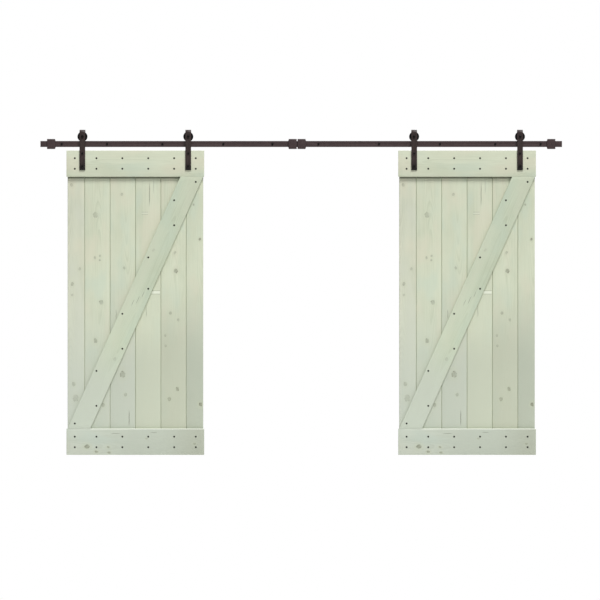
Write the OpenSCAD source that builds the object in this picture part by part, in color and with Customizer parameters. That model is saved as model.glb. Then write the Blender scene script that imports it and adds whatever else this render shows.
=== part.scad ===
// A pair of sliding plank doors on one flat wall track.
// X runs along the track, Y points to the wall, Z is up, all in millimetres.
// The origin is on the wall's face, at the middle of the track and at the
// height of its fixing screws. Each door hangs from two bent straps, whose
// grooved wheels roll on the track's top edge.

/* [Track] */
// Length of each of the two rails that meet end to end
rail_len = 1829; // [1500:1:2200]
// Height of the flat rail
rail_h = 42; // [36:1:50]
// Thickness of the flat rail
rail_t = 6; // [5:0.5:7]
// Distance from the wall to the back of the rail
wall_gap = 35; // [34:1:42]
// Distances of the four outer fixing holes from each rail's outer end
outer_hole_ends = [150, 468, 856, 1283]; // [130:1:1450]
// Distance of the left rail's innermost hole from the track's middle
left_inner_hole = 201; // [120:1:240]
// Distance of the right rail's innermost hole from the track's middle
right_inner_hole = 121; // [90:1:240]
// How much wider the holes in the rail and its spacers are than the screw's thread
rail_hole_clearance = 1; // [0.4:0.1:2]
// Outer diameter of the wall spacers
spacer_d = 24; // [18:1:30]

/* [Wall screws] */
// Diameter of the screw's thread
lag_d = 8; // [6:0.5:10]
// How much thinner than the thread the plain shank under the head is
lag_shank_step = 0.4; // [0.2:0.1:2]
// Length of full thread that goes into the wall
lag_thread_len = 42; // [25:1:80]
// Length of the screw's pointed end
lag_tip_len = 8; // [4:1:12]
// Width across the flats of the hexagon head
lag_head_af = 13; // [12:1:17]
// Height of the hexagon head
lag_head_h = 5; // [4:0.5:5.5]

/* [Stops] */
// Width of each stop block along the rail
stop_w = 59; // [40:1:70]
// Height of each stop block
stop_h = 70; // [62:1:76]
// Thickness of the block in front of the rail and behind it
stop_wall = 8; // [6:0.5:9]
// Distance from the rail's outer end to the outer stop
stop_inset = 47; // [20:1:60]
// Gap between the two stops near the track's middle
stop_pair_gap = 6; // [2:1:30]
// How far the middle of that pair stands off the track's middle
stop_pair_shift = -28.5; // [-60:0.5:60]
// Width of the sloped corner on the side that a wheel meets
stop_slope_w = 4; // [1:0.5:8]
// Height of that sloped corner
stop_slope_h = 12; // [4:0.5:13]
// Bevel along the block's front edges
stop_bevel = 1.5; // [0.5:0.25:3]
// Diameter of the set screws under each block
set_screw_d = 6; // [4:0.5:8]

/* [Hangers] */
// Width of the bent strap
strap_w = 40; // [32:1:44]
// Thickness of the bent strap
strap_t = 6; // [5:0.5:7]
// Clear gap between the strap's two legs
strap_gap = 28; // [24:0.5:33]
// Distance of a strap's middle from the door's side edge
strap_inset = 111.5; // [90:0.5:140]
// Clear gap between the wheel's rim and the strap's crown
crown_gap = 7; // [5:1:18]
// Length of strap that lies on the door
strap_on_door = 138; // [115:1:170]
// Distance of the upper door bolt below the door's top edge
door_bolt_drop = 21; // [18:1:30]
// Distance of the lower door bolt above the strap's lower end
door_bolt_rise = 28; // [16:1:40]
// Diameter of the door bolts
door_bolt_d = 8; // [6:1:10]

/* [Wheels] */
// Outer diameter of the wheel's flanges
wheel_d = 70; // [58:1:84]
// Width of the wheel
wheel_w = 18; // [16:0.5:20]
// How far the flanges reach down past the rail's top edge
flange_depth = 4; // [3:0.5:5]
// Running gap between the groove's floor and the rail
roll_gap = 0.3; // [0.3:0.1:0.5]
// Gap between the rail and each wall of the groove
groove_side_gap = 0.75; // [0.5:0.05:1.2]
// Diameter of the axle bolt
axle_d = 10; // [8:1:12]
// Radial clearance of the bearing on the axle
axle_clearance = 0.03; // [0.02:0.01:0.08]
// Outer diameter of the sealed bearing
bearing_d = 26; // [22:1:30]
// Width of the sealed bearing
bearing_w = 8; // [7:0.5:9]

/* [Doors] */
// Width of a door over its top and bottom boards
door_w = 965; // [800:1:1160]
// Height of a door
door_h = 2134; // [1750:1:2600]
// Gap between the rail's lower edge and the door's top
door_drop = 25; // [16:1:40]
// Distance from the outer stop to the middle of the open door's outer wheel
open_gap = 189; // [40:1:230]
// Width of the first and last planks; the four between them share the rest
edge_plank_w = 119.5; // [95:0.5:150]
// Thickness of the upright planks
plank_t = 19; // [16:1:22]
// Thickness of the top, bottom and slanting boards
cross_board_t = 19; // [16:1:22]
// Height of the top and bottom boards
cross_board_h = 184; // [150:1:220]
// How far those boards reach past the planks on each side
cross_board_overhang = 7; // [2:1:15]
// Width of the slanting brace
brace_w = 146; // [120:1:180]
// Bevel along the front edges of the boards
board_bevel = 2; // [0.5:0.5:4]
// Width of each plank's bevel at a seam
seam_bevel = 3.5; // [1:0.5:5]
// Gap between neighbouring planks
seam_gap = 0.4; // [0.2:0.1:1.5]
// Length of the tongue on each plank's right edge
tongue_len = 6; // [4:0.5:8]
// Thickness of that tongue
tongue_t = 6; // [5:0.5:7]

/* [Board screws] */
// Diameter of the screw heads
screw_head_d = 9.5; // [8:0.5:11]
// Height of the screw heads
screw_head_h = 2.4; // [1.8:0.2:3]
// Diameter of the screw shanks
screw_d = 4.2; // [3.5:0.1:5]
// How far the screws' tips stay below the back of the planks
screw_tip_cover = 6; // [4:1:14]
// Distance of the outer row of screws from the door's end
screw_row_edge = 54; // [40:1:65]
// Distance between the two rows of screws
screw_row_pitch = 74; // [50:1:90]
// Least distance of a brace screw from the brace's edges and ends
brace_screw_cover = 18; // [12:1:19]

/* [Hidden] */
SIDES = ["left", "right"];
ENDS = ["outer", "inner"];
PLANKS = 6;
DOOR_PARTS = [
    "top_board", "bottom_board", "brace", "board_screws",
    "door_bolts", "door_washers", "door_nuts",
    "axle_bolts", "axle_bushes", "axle_nuts"
];
HANGER_PARTS = ["strap", "wheel", "bearing"];
$fn = 96;
eps = 0.5;               // overshoot of a cutting shape past the face it cuts
thread_clearance = 0.05; // radial gap of a nut, washer or screw hole on its bolt
column_spread = 1.02;    // each column of screws stands this far out of its plank's middle

// Depths, from the wall's face towards the room
rail_back = -wall_gap;
rail_front = rail_back - rail_t;
rail_mid = rail_back - rail_t / 2;
leg_front_out = rail_mid - strap_gap / 2 - strap_t;
leg_back_out = rail_mid + strap_gap / 2 + strap_t;
board_front = leg_front_out + strap_t;
plank_front = board_front + cross_board_t;
plank_back = plank_front + plank_t;
screw_len = plank_back - board_front - screw_tip_cover;

// Heights
axle_rise = wheel_d / 2 - flange_depth;
axle_z = rail_h / 2 + axle_rise;
bend_z = axle_z + wheel_d / 2 + crown_gap - strap_gap / 2;
door_top = -rail_h / 2 - door_drop;
door_bottom = door_top - door_h;
strap_bottom = door_top - strap_on_door;
brace_run = door_h - 2 * cross_board_h;
door_mid = door_top - door_h / 2;
DOOR_BOLT_HEIGHTS = [door_top - door_bolt_drop, strap_bottom + door_bolt_rise];

// Doors
planked_w = door_w - 2 * cross_board_overhang;
plank_w = (planked_w - 2 * edge_plank_w) / (PLANKS - 2);
strap_spacing = door_w - 2 * strap_inset;
door_offset = rail_len - stop_inset - stop_w - open_gap - strap_spacing / 2;
function seam_x(i) =
    i == 0 ? -planked_w / 2 :
    i == PLANKS ? planked_w / 2 :
    -planked_w / 2 + edge_plank_w + (i - 1) * plank_w;
function column_x(i) = column_spread * (seam_x(i) + seam_x(i + 1)) / 2;
function side_sign(side) = side == "left" ? -1 : 1;
function door_x(side) = side_sign(side) * door_offset;
function strap_x(side, end) =
    door_x(side) + side_sign(side) * (end == "outer" ? 1 : -1) * strap_spacing / 2;

// The brace runs from one corner of the planks to the other, so its slope
// follows from the space between the boards and its own width.
brace_angle = acos(brace_w / norm([planked_w, brace_run])) - atan2(brace_run, planked_w);
brace_slice = brace_w / cos(brace_angle);
brace_rise = 1 / tan(brace_angle);
// One brace screw each: its plank, counted from 0, and its height above the
// brace's middle line. The first and last planks hold one, the others two.
BRACE_SCREWS = [
    [0, 100], [1, 130], [1, -115], [2, 125], [2, -120],
    [3, 115], [3, -105], [4, 110], [4, -65], [5, -100]
];
function within(v, limit) = max(-limit, min(limit, v));
function brace_screw_z(x, above) =
    door_mid + within(
        brace_rise * x + within(above, (brace_w / 2 - brace_screw_cover) / sin(brace_angle)),
        brace_run / 2 - brace_screw_cover
    );

// Track
lag_shank_d = lag_d - lag_shank_step;
rail_hole_d = lag_d + rail_hole_clearance;
function inner_hole(side) = side == "left" ? left_inner_hole : right_inner_hole;
function rail_holes(side) = side_sign(side) * concat(
    [for (d = outer_hole_ends) rail_len - d], [inner_hole(side)]
);
ALL_RAIL_HOLES = concat(rail_holes("left"), rail_holes("right"));
function stop_x(side, end) =
    end == "outer"
        ? side_sign(side) * (rail_len - stop_inset - stop_w / 2)
        : stop_pair_shift + side_sign(side) * (stop_pair_gap + stop_w) / 2;
stop_slot_gap = 0.2;      // gap between the rail and the stop's slot
set_screw_pitch = 30;     // distance between a stop's two set screws
set_screw_recess = 2;     // depth of the set screws below the stop's underside
set_screw_socket_af = 3;  // width across the flats of their hexagon sockets

// Wheels
groove_w = rail_t + 2 * groove_side_gap;
groove_r = axle_rise - roll_gap;
flange_lip = 1;           // how much wider the groove is at the flange's tip
flange_edge_r = 1.2;      // bevel at the flange's outer corner
dish_depth = 1.5;         // recess of the wheel's web on each side
dish_in_r = bearing_d / 2 + 4.5;
dish_out_r = wheel_d / 2 - 8;
bearing_shoulder = 2.5;   // width of the ledge that holds the bearing's back
bearing_side_gap = 0.2;   // running gap between the bearing and each bush
bearing_seal_depth = 0.5;
bush_d = axle_d + 6;

// Fasteners
door_washer_d = 17;
door_washer_t = 1.6;
door_nut_h = 6.5;
door_head_af = 13;
door_head_h = 5.5;
axle_head_af = 17;
axle_head_h = 6.4;
axle_nut_h = 8;
bolt_end = 1.5;           // length of bolt that stands out of its nut

bronze = [0.28, 0.235, 0.225];
black = [0.10, 0.10, 0.10];
steel = [0.62, 0.62, 0.63];
sage = [0.79, 0.82, 0.73];
sage_light = [0.81, 0.83, 0.74];
sage_green = [0.77, 0.82, 0.72];

// Shapes that several pieces share

// A straight cylinder from y0 to y1 on an axis parallel to Y.
module rod(x, z, y0, y1, d) {
    translate([x, y0, z]) rotate([-90, 0, 0]) cylinder(h = y1 - y0, d = d);
}

// A hexagon bar from y0 to y1, with its corners above and below its axis.
module hex_rod(x, z, y0, y1, af) {
    translate([x, y0, z]) rotate([-90, 0, 0]) rotate(30)
        cylinder(h = y1 - y0, d = af / cos(30), $fn = 6);
}

// A hexagon head on the face at y, towards the room, with its corners turned off.
module hex_head(x, z, y, af, h) {
    corner_d = af / cos(30);
    intersection() {
        hex_rod(x, z, y - h, y, af);
        translate([x, y - h, z]) rotate([-90, 0, 0])
            cylinder(h = corner_d, d1 = af * 0.94, d2 = af * 0.94 + 3.4 * corner_d);
    }
}

// A hexagon head on the face at y with a plain shank that ends at y1.
module bolt(x, z, y, y1, af, h, d) {
    hex_head(x, z, y, af, h);
    rod(x, z, y - h / 2, y1, d);
}

// A hexagon nut from y0 to y1 on a bolt of diameter d.
module hex_nut(x, z, y0, y1, af, d) {
    difference() {
        hex_rod(x, z, y0, y1, af);
        rod(x, z, y0 - eps, y1 + eps, d + 2 * thread_clearance);
    }
}

// A flat ring from y0 to y1.
module ring(x, z, y0, y1, outer_d, inner_d) {
    difference() {
        rod(x, z, y0, y1, outer_d);
        rod(x, z, y0 - eps, y1 + eps, inner_d);
    }
}

// A rectangle whose two lower corners are bevelled: its front edges.
module front_bevelled(w, d, bevel) {
    polygon([
        [bevel, 0], [w - bevel, 0], [w, bevel],
        [w, d], [0, d], [0, bevel]
    ]);
}

// Track

module rail(side) {
    x0 = side == "left" ? -rail_len : 0;
    color(bronze) difference() {
        translate([x0, rail_front, -rail_h / 2]) cube([rail_len, rail_t, rail_h]);
        for (x = rail_holes(side)) rod(x, 0, rail_front - eps, rail_back + eps, rail_hole_d);
    }
}

module rail_spacers() {
    color(bronze) for (x = ALL_RAIL_HOLES) ring(x, 0, rail_back, 0, spacer_d, rail_hole_d);
}

module wall_screw(x) {
    bolt(x, 0, rail_front, 0, lag_head_af, lag_head_h, lag_shank_d);
    rod(x, 0, 0, lag_thread_len, lag_d);
    translate([x, lag_thread_len, 0]) rotate([-90, 0, 0])
        cylinder(h = lag_tip_len, d1 = lag_d, d2 = lag_d / 5);
}

module wall_screws() {
    color(black) for (x = ALL_RAIL_HOLES) wall_screw(x);
}

// The outline of a stop seen from the front, with the sloped corners that face
// the wheel on its right.
module stop_outline() {
    w = stop_w / 2;
    h = stop_h / 2;
    polygon([
        [-w, -h], [w - stop_slope_w, -h], [w, -h + stop_slope_h],
        [w, h - stop_slope_h], [w - stop_slope_w, h], [-w, h]
    ]);
}

// A block that slides over the rail, held by set screws from below.
module stop_block(side, end) {
    depth = rail_t + 2 * stop_wall;
    facing = side_sign(side) * (end == "outer" ? -1 : 1);
    slot_h = rail_h + 2 * stop_slot_gap;
    slot_t = rail_t + 2 * stop_slot_gap;
    color(bronze) translate([stop_x(side, end), 0, 0]) mirror([facing < 0 ? 1 : 0, 0, 0])
        difference() {
            intersection() {
                translate([0, rail_back + stop_wall, 0]) rotate([90, 0, 0])
                    linear_extrude(height = depth) stop_outline();
                translate([-stop_w / 2, rail_front - stop_wall, -stop_h / 2 - eps])
                    linear_extrude(height = stop_h + 2 * eps)
                        front_bevelled(stop_w, depth, stop_bevel);
                translate([stop_w, rail_front - stop_wall, -stop_h / 2]) rotate([0, -90, 0])
                    linear_extrude(height = 2 * stop_w)
                        front_bevelled(stop_h, depth, stop_bevel);
            }
            translate([-stop_w, rail_mid - slot_t / 2, -slot_h / 2])
                cube([2 * stop_w, slot_t, slot_h]);
            for (x = [-1, 1] * set_screw_pitch / 2)
                translate([x, rail_mid, -stop_h / 2 - eps])
                    cylinder(h = stop_h / 2, d = set_screw_d + 2 * thread_clearance);
        }
}

module set_screw(x) {
    screw_h = (stop_h - rail_h) / 2 - set_screw_recess;
    translate([x, rail_mid, -rail_h / 2 - screw_h]) difference() {
        cylinder(h = screw_h, d = set_screw_d);
        translate([0, 0, -eps])
            cylinder(h = screw_h / 3 + eps, d = set_screw_socket_af / cos(30), $fn = 6);
    }
}

module stop_set_screws() {
    color(black) for (side = SIDES) for (end = ENDS) for (s = [-1, 1])
        set_screw(stop_x(side, end) + s * set_screw_pitch / 2);
}

// Doors

// Where a door's board screws go, as [x, z] from its middle line.
function board_screw_places() = concat(
    [for (i = [0:PLANKS - 1]) for (row = [0, 1])
        [column_x(i), door_top - screw_row_edge - row * screw_row_pitch]],
    [for (i = [0:PLANKS - 1]) for (row = [0, 1])
        [column_x(i), door_bottom + screw_row_edge + row * screw_row_pitch]],
    [for (s = BRACE_SCREWS) [column_x(s[0]), brace_screw_z(column_x(s[0]), s[1])]]
);

// Where a door's strap bolts go, as [x, z] from its middle line.
function door_bolt_places() = [
    for (s = [-1, 1]) for (z = DOOR_BOLT_HEIGHTS) [s * strap_spacing / 2, z]
];

// The holes that a door's screws and bolts need, cut between two depths.
module fastener_holes(y0, y1) {
    for (p = board_screw_places())
        rod(p[0], p[1], y0, min(y1, board_front + screw_len + eps), screw_d + 2 * thread_clearance);
    for (p = door_bolt_places())
        rod(p[0], p[1], y0, y1, door_bolt_d + 4 * thread_clearance);
}

// A plank's section: seams bevelled in front, groove on the left, tongue on the right.
module plank_section(i) {
    x0 = seam_x(i) + (i == 0 ? 0 : seam_gap / 2);
    x1 = seam_x(i + 1) - (i == PLANKS - 1 ? 0 : seam_gap / 2);
    left_bevel = i == 0 ? board_bevel : seam_bevel;
    right_bevel = i == PLANKS - 1 ? board_bevel : seam_bevel;
    tongue_mid = (plank_front + plank_back) / 2;
    groove_t = tongue_t + 2 * seam_gap;
    difference() {
        union() {
            polygon([
                [x0 + left_bevel, plank_front], [x1 - right_bevel, plank_front],
                [x1, plank_front + right_bevel], [x1, plank_back - board_bevel / 2],
                [x1 - board_bevel / 2, plank_back], [x0 + board_bevel / 2, plank_back],
                [x0, plank_back - board_bevel / 2], [x0, plank_front + left_bevel]
            ]);
            if (i < PLANKS - 1)
                translate([x1 - eps, tongue_mid - tongue_t / 2]) square([tongue_len + eps, tongue_t]);
        }
        if (i > 0)
            translate([x0 - eps, tongue_mid - groove_t / 2]) square([tongue_len + eps, groove_t]);
    }
}

module plank(side, i) {
    color(i % 2 == 0 ? sage : sage_light) translate([door_x(side), 0, 0]) difference() {
        translate([0, 0, door_bottom]) linear_extrude(height = door_h) plank_section(i);
        fastener_holes(plank_front - eps, plank_back + eps);
    }
}

// A level board with bevelled front edges, from z up.
module cross_board(side, z) {
    color(sage) translate([door_x(side), 0, 0]) difference() {
        intersection() {
            translate([-door_w / 2, board_front, z]) linear_extrude(height = cross_board_h)
                front_bevelled(door_w, cross_board_t, board_bevel);
            translate([door_w / 2, board_front, z]) rotate([0, -90, 0])
                linear_extrude(height = door_w)
                    front_bevelled(cross_board_h, cross_board_t, board_bevel);
        }
        fastener_holes(board_front - eps, plank_front + eps);
    }
}

// The slanting board, cut level where it meets the top and bottom boards.
module brace(side) {
    long = brace_run / cos(brace_angle) + 2 * brace_w;
    color(sage_green) translate([door_x(side), 0, 0]) difference() {
        intersection() {
            translate([0, board_front, door_mid]) rotate([0, brace_angle, 0])
                translate([-brace_w / 2, 0, -long / 2]) linear_extrude(height = long)
                    front_bevelled(brace_w, cross_board_t, board_bevel);
            translate([-door_w, board_front - eps, door_mid - brace_run / 2])
                cube([2 * door_w, cross_board_t + 2 * eps, brace_run]);
        }
        fastener_holes(board_front - eps, plank_front + eps);
    }
}

module board_screw(x, z) {
    recess = screw_head_h * 0.6;
    slot = screw_head_d * 0.55;
    blade = screw_head_d * 0.12;
    tip = screw_d;
    difference() {
        union() {
            translate([x, board_front, z]) rotate([90, 0, 0])
                cylinder(h = screw_head_h, d1 = screw_head_d, d2 = screw_head_d * 0.7);
            rod(x, z, board_front, board_front + screw_len - tip, screw_d);
            translate([x, board_front + screw_len - tip, z]) rotate([-90, 0, 0])
                cylinder(h = tip, d1 = screw_d, d2 = screw_d / 4);
        }
        translate([x, board_front - screw_head_h + recess / 2, z]) {
            cube([slot, recess + eps, blade], center = true);
            cube([blade, recess + eps, slot], center = true);
        }
    }
}

module board_screws(side) {
    color(black) for (p = board_screw_places()) board_screw(door_x(side) + p[0], p[1]);
}

module door_bolts(side) {
    end = plank_back + door_washer_t + door_nut_h + bolt_end;
    color(bronze) for (p = door_bolt_places())
        bolt(door_x(side) + p[0], p[1], leg_front_out, end,
            door_head_af, door_head_h, door_bolt_d);
}

module door_washers(side) {
    color(steel) for (p = door_bolt_places())
        ring(door_x(side) + p[0], p[1], plank_back, plank_back + door_washer_t,
            door_washer_d, door_bolt_d + 2 * thread_clearance);
}

module door_nuts(side) {
    nut_front = plank_back + door_washer_t;
    color(steel) for (p = door_bolt_places())
        hex_nut(door_x(side) + p[0], p[1], nut_front, nut_front + door_nut_h,
            door_head_af, door_bolt_d);
}

// Hangers

// A strap bent over the wheel: a long front leg that bolts to the door and a
// short back leg with a round end about the axle.
module strap(side, end) {
    x = strap_x(side, end);
    color(bronze) difference() {
        union() {
            translate([x - strap_w / 2, leg_front_out, strap_bottom])
                cube([strap_w, strap_t, bend_z - strap_bottom]);
            translate([x - strap_w / 2, leg_back_out - strap_t, axle_z])
                cube([strap_w, strap_t, bend_z - axle_z]);
            rod(x, axle_z, leg_back_out - strap_t, leg_back_out, strap_w);
            intersection() {
                translate([x - strap_w / 2, rail_mid, bend_z]) rotate([0, 90, 0]) difference() {
                    cylinder(h = strap_w, d = strap_gap + 2 * strap_t);
                    translate([0, 0, -eps]) cylinder(h = strap_w + 2 * eps, d = strap_gap);
                }
                translate([x - strap_w, leg_front_out - eps, bend_z])
                    cube([2 * strap_w, strap_gap + 2 * strap_t + 2 * eps, strap_gap]);
            }
        }
        rod(x, axle_z, leg_front_out - eps, leg_back_out + eps, axle_d + 4 * thread_clearance);
        for (z = DOOR_BOLT_HEIGHTS)
            rod(x, z, leg_front_out - eps, board_front + eps, door_bolt_d + 4 * thread_clearance);
    }
}

// A grooved wheel, turned about the axle, with a seat for its bearing.
module wheel(side, end) {
    w = wheel_w / 2;
    r = wheel_d / 2;
    seat = bearing_w / 2;
    color(black) translate([strap_x(side, end), rail_mid, axle_z]) rotate([-90, 0, 0])
        rotate_extrude() polygon([
            [bearing_d / 2, -w], [dish_in_r, -w],
            [dish_in_r + 1, -w + dish_depth], [dish_out_r - 1, -w + dish_depth],
            [dish_out_r, -w], [r - flange_edge_r, -w], [r, -w + flange_edge_r],
            [r, -groove_w / 2 - flange_lip], [groove_r, -groove_w / 2],
            [groove_r, groove_w / 2], [r, groove_w / 2 + flange_lip],
            [r, w - flange_edge_r], [r - flange_edge_r, w], [dish_out_r, w],
            [dish_out_r - 1, w - dish_depth], [dish_in_r + 1, w - dish_depth],
            [dish_in_r, w], [bearing_d / 2 - bearing_shoulder, w],
            [bearing_d / 2 - bearing_shoulder, seat], [bearing_d / 2, seat]
        ]);
}

// A sealed bearing: two rings with a recessed seal between them on each face.
module bearing(side, end) {
    half = bearing_w / 2;
    bore_r = axle_d / 2 + axle_clearance;
    wall = (bearing_d / 2 - bore_r) / 4;
    color(steel) translate([strap_x(side, end), rail_mid, axle_z]) rotate([-90, 0, 0])
        rotate_extrude() polygon([
            [bore_r, -half], [bore_r + wall, -half],
            [bore_r + wall, -half + bearing_seal_depth],
            [bearing_d / 2 - wall, -half + bearing_seal_depth],
            [bearing_d / 2 - wall, -half], [bearing_d / 2, -half],
            [bearing_d / 2, half], [bearing_d / 2 - wall, half],
            [bearing_d / 2 - wall, half - bearing_seal_depth],
            [bore_r + wall, half - bearing_seal_depth],
            [bore_r + wall, half], [bore_r, half]
        ]);
}

module axle_bolts(side) {
    color(bronze) for (end = ENDS)
        bolt(strap_x(side, end), axle_z, leg_front_out, leg_back_out + axle_nut_h + bolt_end,
            axle_head_af, axle_head_h, axle_d);
}

module axle_bushes(side) {
    inner_face = bearing_w / 2 + bearing_side_gap;
    color(steel) for (end = ENDS) {
        ring(strap_x(side, end), axle_z, leg_front_out + strap_t, rail_mid - inner_face,
            bush_d, axle_d + 2 * thread_clearance);
        ring(strap_x(side, end), axle_z, rail_mid + inner_face, leg_back_out - strap_t,
            bush_d, axle_d + 2 * thread_clearance);
    }
}

module axle_nuts(side) {
    color(steel) for (end = ENDS)
        hex_nut(strap_x(side, end), axle_z, leg_back_out, leg_back_out + axle_nut_h,
            axle_head_af, axle_d);
}

rail("left");  // rail_left
rail("right");  // rail_right
rail_spacers();
wall_screws();
stop_set_screws();
for (side = SIDES) {
    for (i = [1:PLANKS])
        plank(side, i - 1);
    cross_board(side, door_top - cross_board_h);
    cross_board(side, door_bottom);
    brace(side);
    board_screws(side);
    door_bolts(side);
    door_washers(side);
    door_nuts(side);
    axle_bolts(side);
    axle_bushes(side);
    axle_nuts(side);
    for (end = ENDS) {
        stop_block(side, end);
        strap(side, end);
        wheel(side, end);
        bearing(side, end);
    }
}
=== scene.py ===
"""Looks of a pair of sliding plank doors on one flat wall track.

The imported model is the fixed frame: every place and size comes from its nodes' boxes.
X runs along the track, Y points to the wall and Z is up, all in metres.
"""

from __future__ import annotations

import logging
import math
from collections.abc import Callable, Iterable, Sequence
from dataclasses import dataclass
from enum import Enum
from typing import Any

import bmesh
import bpy
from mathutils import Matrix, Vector, noise

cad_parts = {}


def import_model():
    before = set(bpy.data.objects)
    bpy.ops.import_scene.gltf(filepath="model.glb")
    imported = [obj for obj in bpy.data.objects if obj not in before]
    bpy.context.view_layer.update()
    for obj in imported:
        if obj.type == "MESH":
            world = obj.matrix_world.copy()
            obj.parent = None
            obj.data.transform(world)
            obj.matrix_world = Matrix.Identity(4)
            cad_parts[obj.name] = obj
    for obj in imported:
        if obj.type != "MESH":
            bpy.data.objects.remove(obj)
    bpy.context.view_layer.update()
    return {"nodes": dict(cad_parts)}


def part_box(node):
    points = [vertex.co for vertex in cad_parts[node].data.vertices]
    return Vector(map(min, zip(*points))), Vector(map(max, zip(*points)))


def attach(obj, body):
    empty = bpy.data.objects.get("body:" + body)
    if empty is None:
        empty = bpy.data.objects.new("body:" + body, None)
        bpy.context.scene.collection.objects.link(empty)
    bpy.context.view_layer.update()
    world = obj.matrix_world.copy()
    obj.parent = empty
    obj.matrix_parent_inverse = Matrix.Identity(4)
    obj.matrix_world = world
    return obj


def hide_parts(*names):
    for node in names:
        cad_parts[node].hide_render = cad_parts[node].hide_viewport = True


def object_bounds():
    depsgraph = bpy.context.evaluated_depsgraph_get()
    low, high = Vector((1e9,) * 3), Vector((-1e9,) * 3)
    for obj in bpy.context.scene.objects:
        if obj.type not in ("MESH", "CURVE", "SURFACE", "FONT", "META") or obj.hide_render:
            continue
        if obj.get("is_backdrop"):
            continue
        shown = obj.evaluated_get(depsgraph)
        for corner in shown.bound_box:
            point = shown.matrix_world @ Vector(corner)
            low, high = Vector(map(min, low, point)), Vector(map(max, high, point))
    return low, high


LOG = logging.getLogger("barn_doors")
MM = 0.001
SMOOTH_ANGLE = math.radians(33)  # edges that turn more are shown crisp
ROUNDED_ANGLE = math.radians(25)  # edges of a copied shape that turn more are rounded
FLAT_ANGLE = math.radians(0.4)  # seams of a copied shape that turn less are dissolved
COPY_MERGE = 0.002 * MM
GROWN_MERGE = 0.001 * MM
CORNER_LIMIT = 0.49  # how much of a side a rounded corner may take
WOBBLE_RATE = 3.1  # how fast unevenness changes along a board, per metre
WOBBLE_ROW = 17.3  # how far apart the unevenness of two edges is read

NODES: dict[str, bpy.types.Object] = {}

Colour = tuple[float, float, float, float]
Socket = bpy.types.NodeSocket
Span = tuple[float, float]
Triple = tuple[float, float, float]
Easing = tuple[float, float, float, float]  # from, to, and the first and last value
Outline = list[Span]


class Side(Enum):
    """A door's side of the track."""

    LEFT = "left"
    RIGHT = "right"


class End(Enum):
    """A door's end: the outer one is far from the track's middle."""

    OUTER = "outer"
    INNER = "inner"


class Slot(Enum):
    """The record's material slots."""

    PLANKS = "sage_stained_planks"
    BOARDS = "sage_stained_boards"
    BRONZE = "dark_bronze_steel"
    SCREW = "black_screw_steel"
    NYLON = "black_nylon"
    ZINC = "zinc_plated_steel"
    BEARING = "bearing_steel"


def tint(red: float, green: float, blue: float) -> Colour:
    """Turns a display colour of 0 to 255 into a linear one.

    Args:
        red: Display red.
        green: Display green.
        blue: Display blue.

    Returns:
        The linear colour with full alpha.
    """
    channels = []
    for value in (red, green, blue):
        share = value / 255
        channels.append(share / 12.92 if share <= 0.04045 else ((share + 0.055) / 1.055) ** 2.4)
    return (channels[0], channels[1], channels[2], 1.0)


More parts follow.
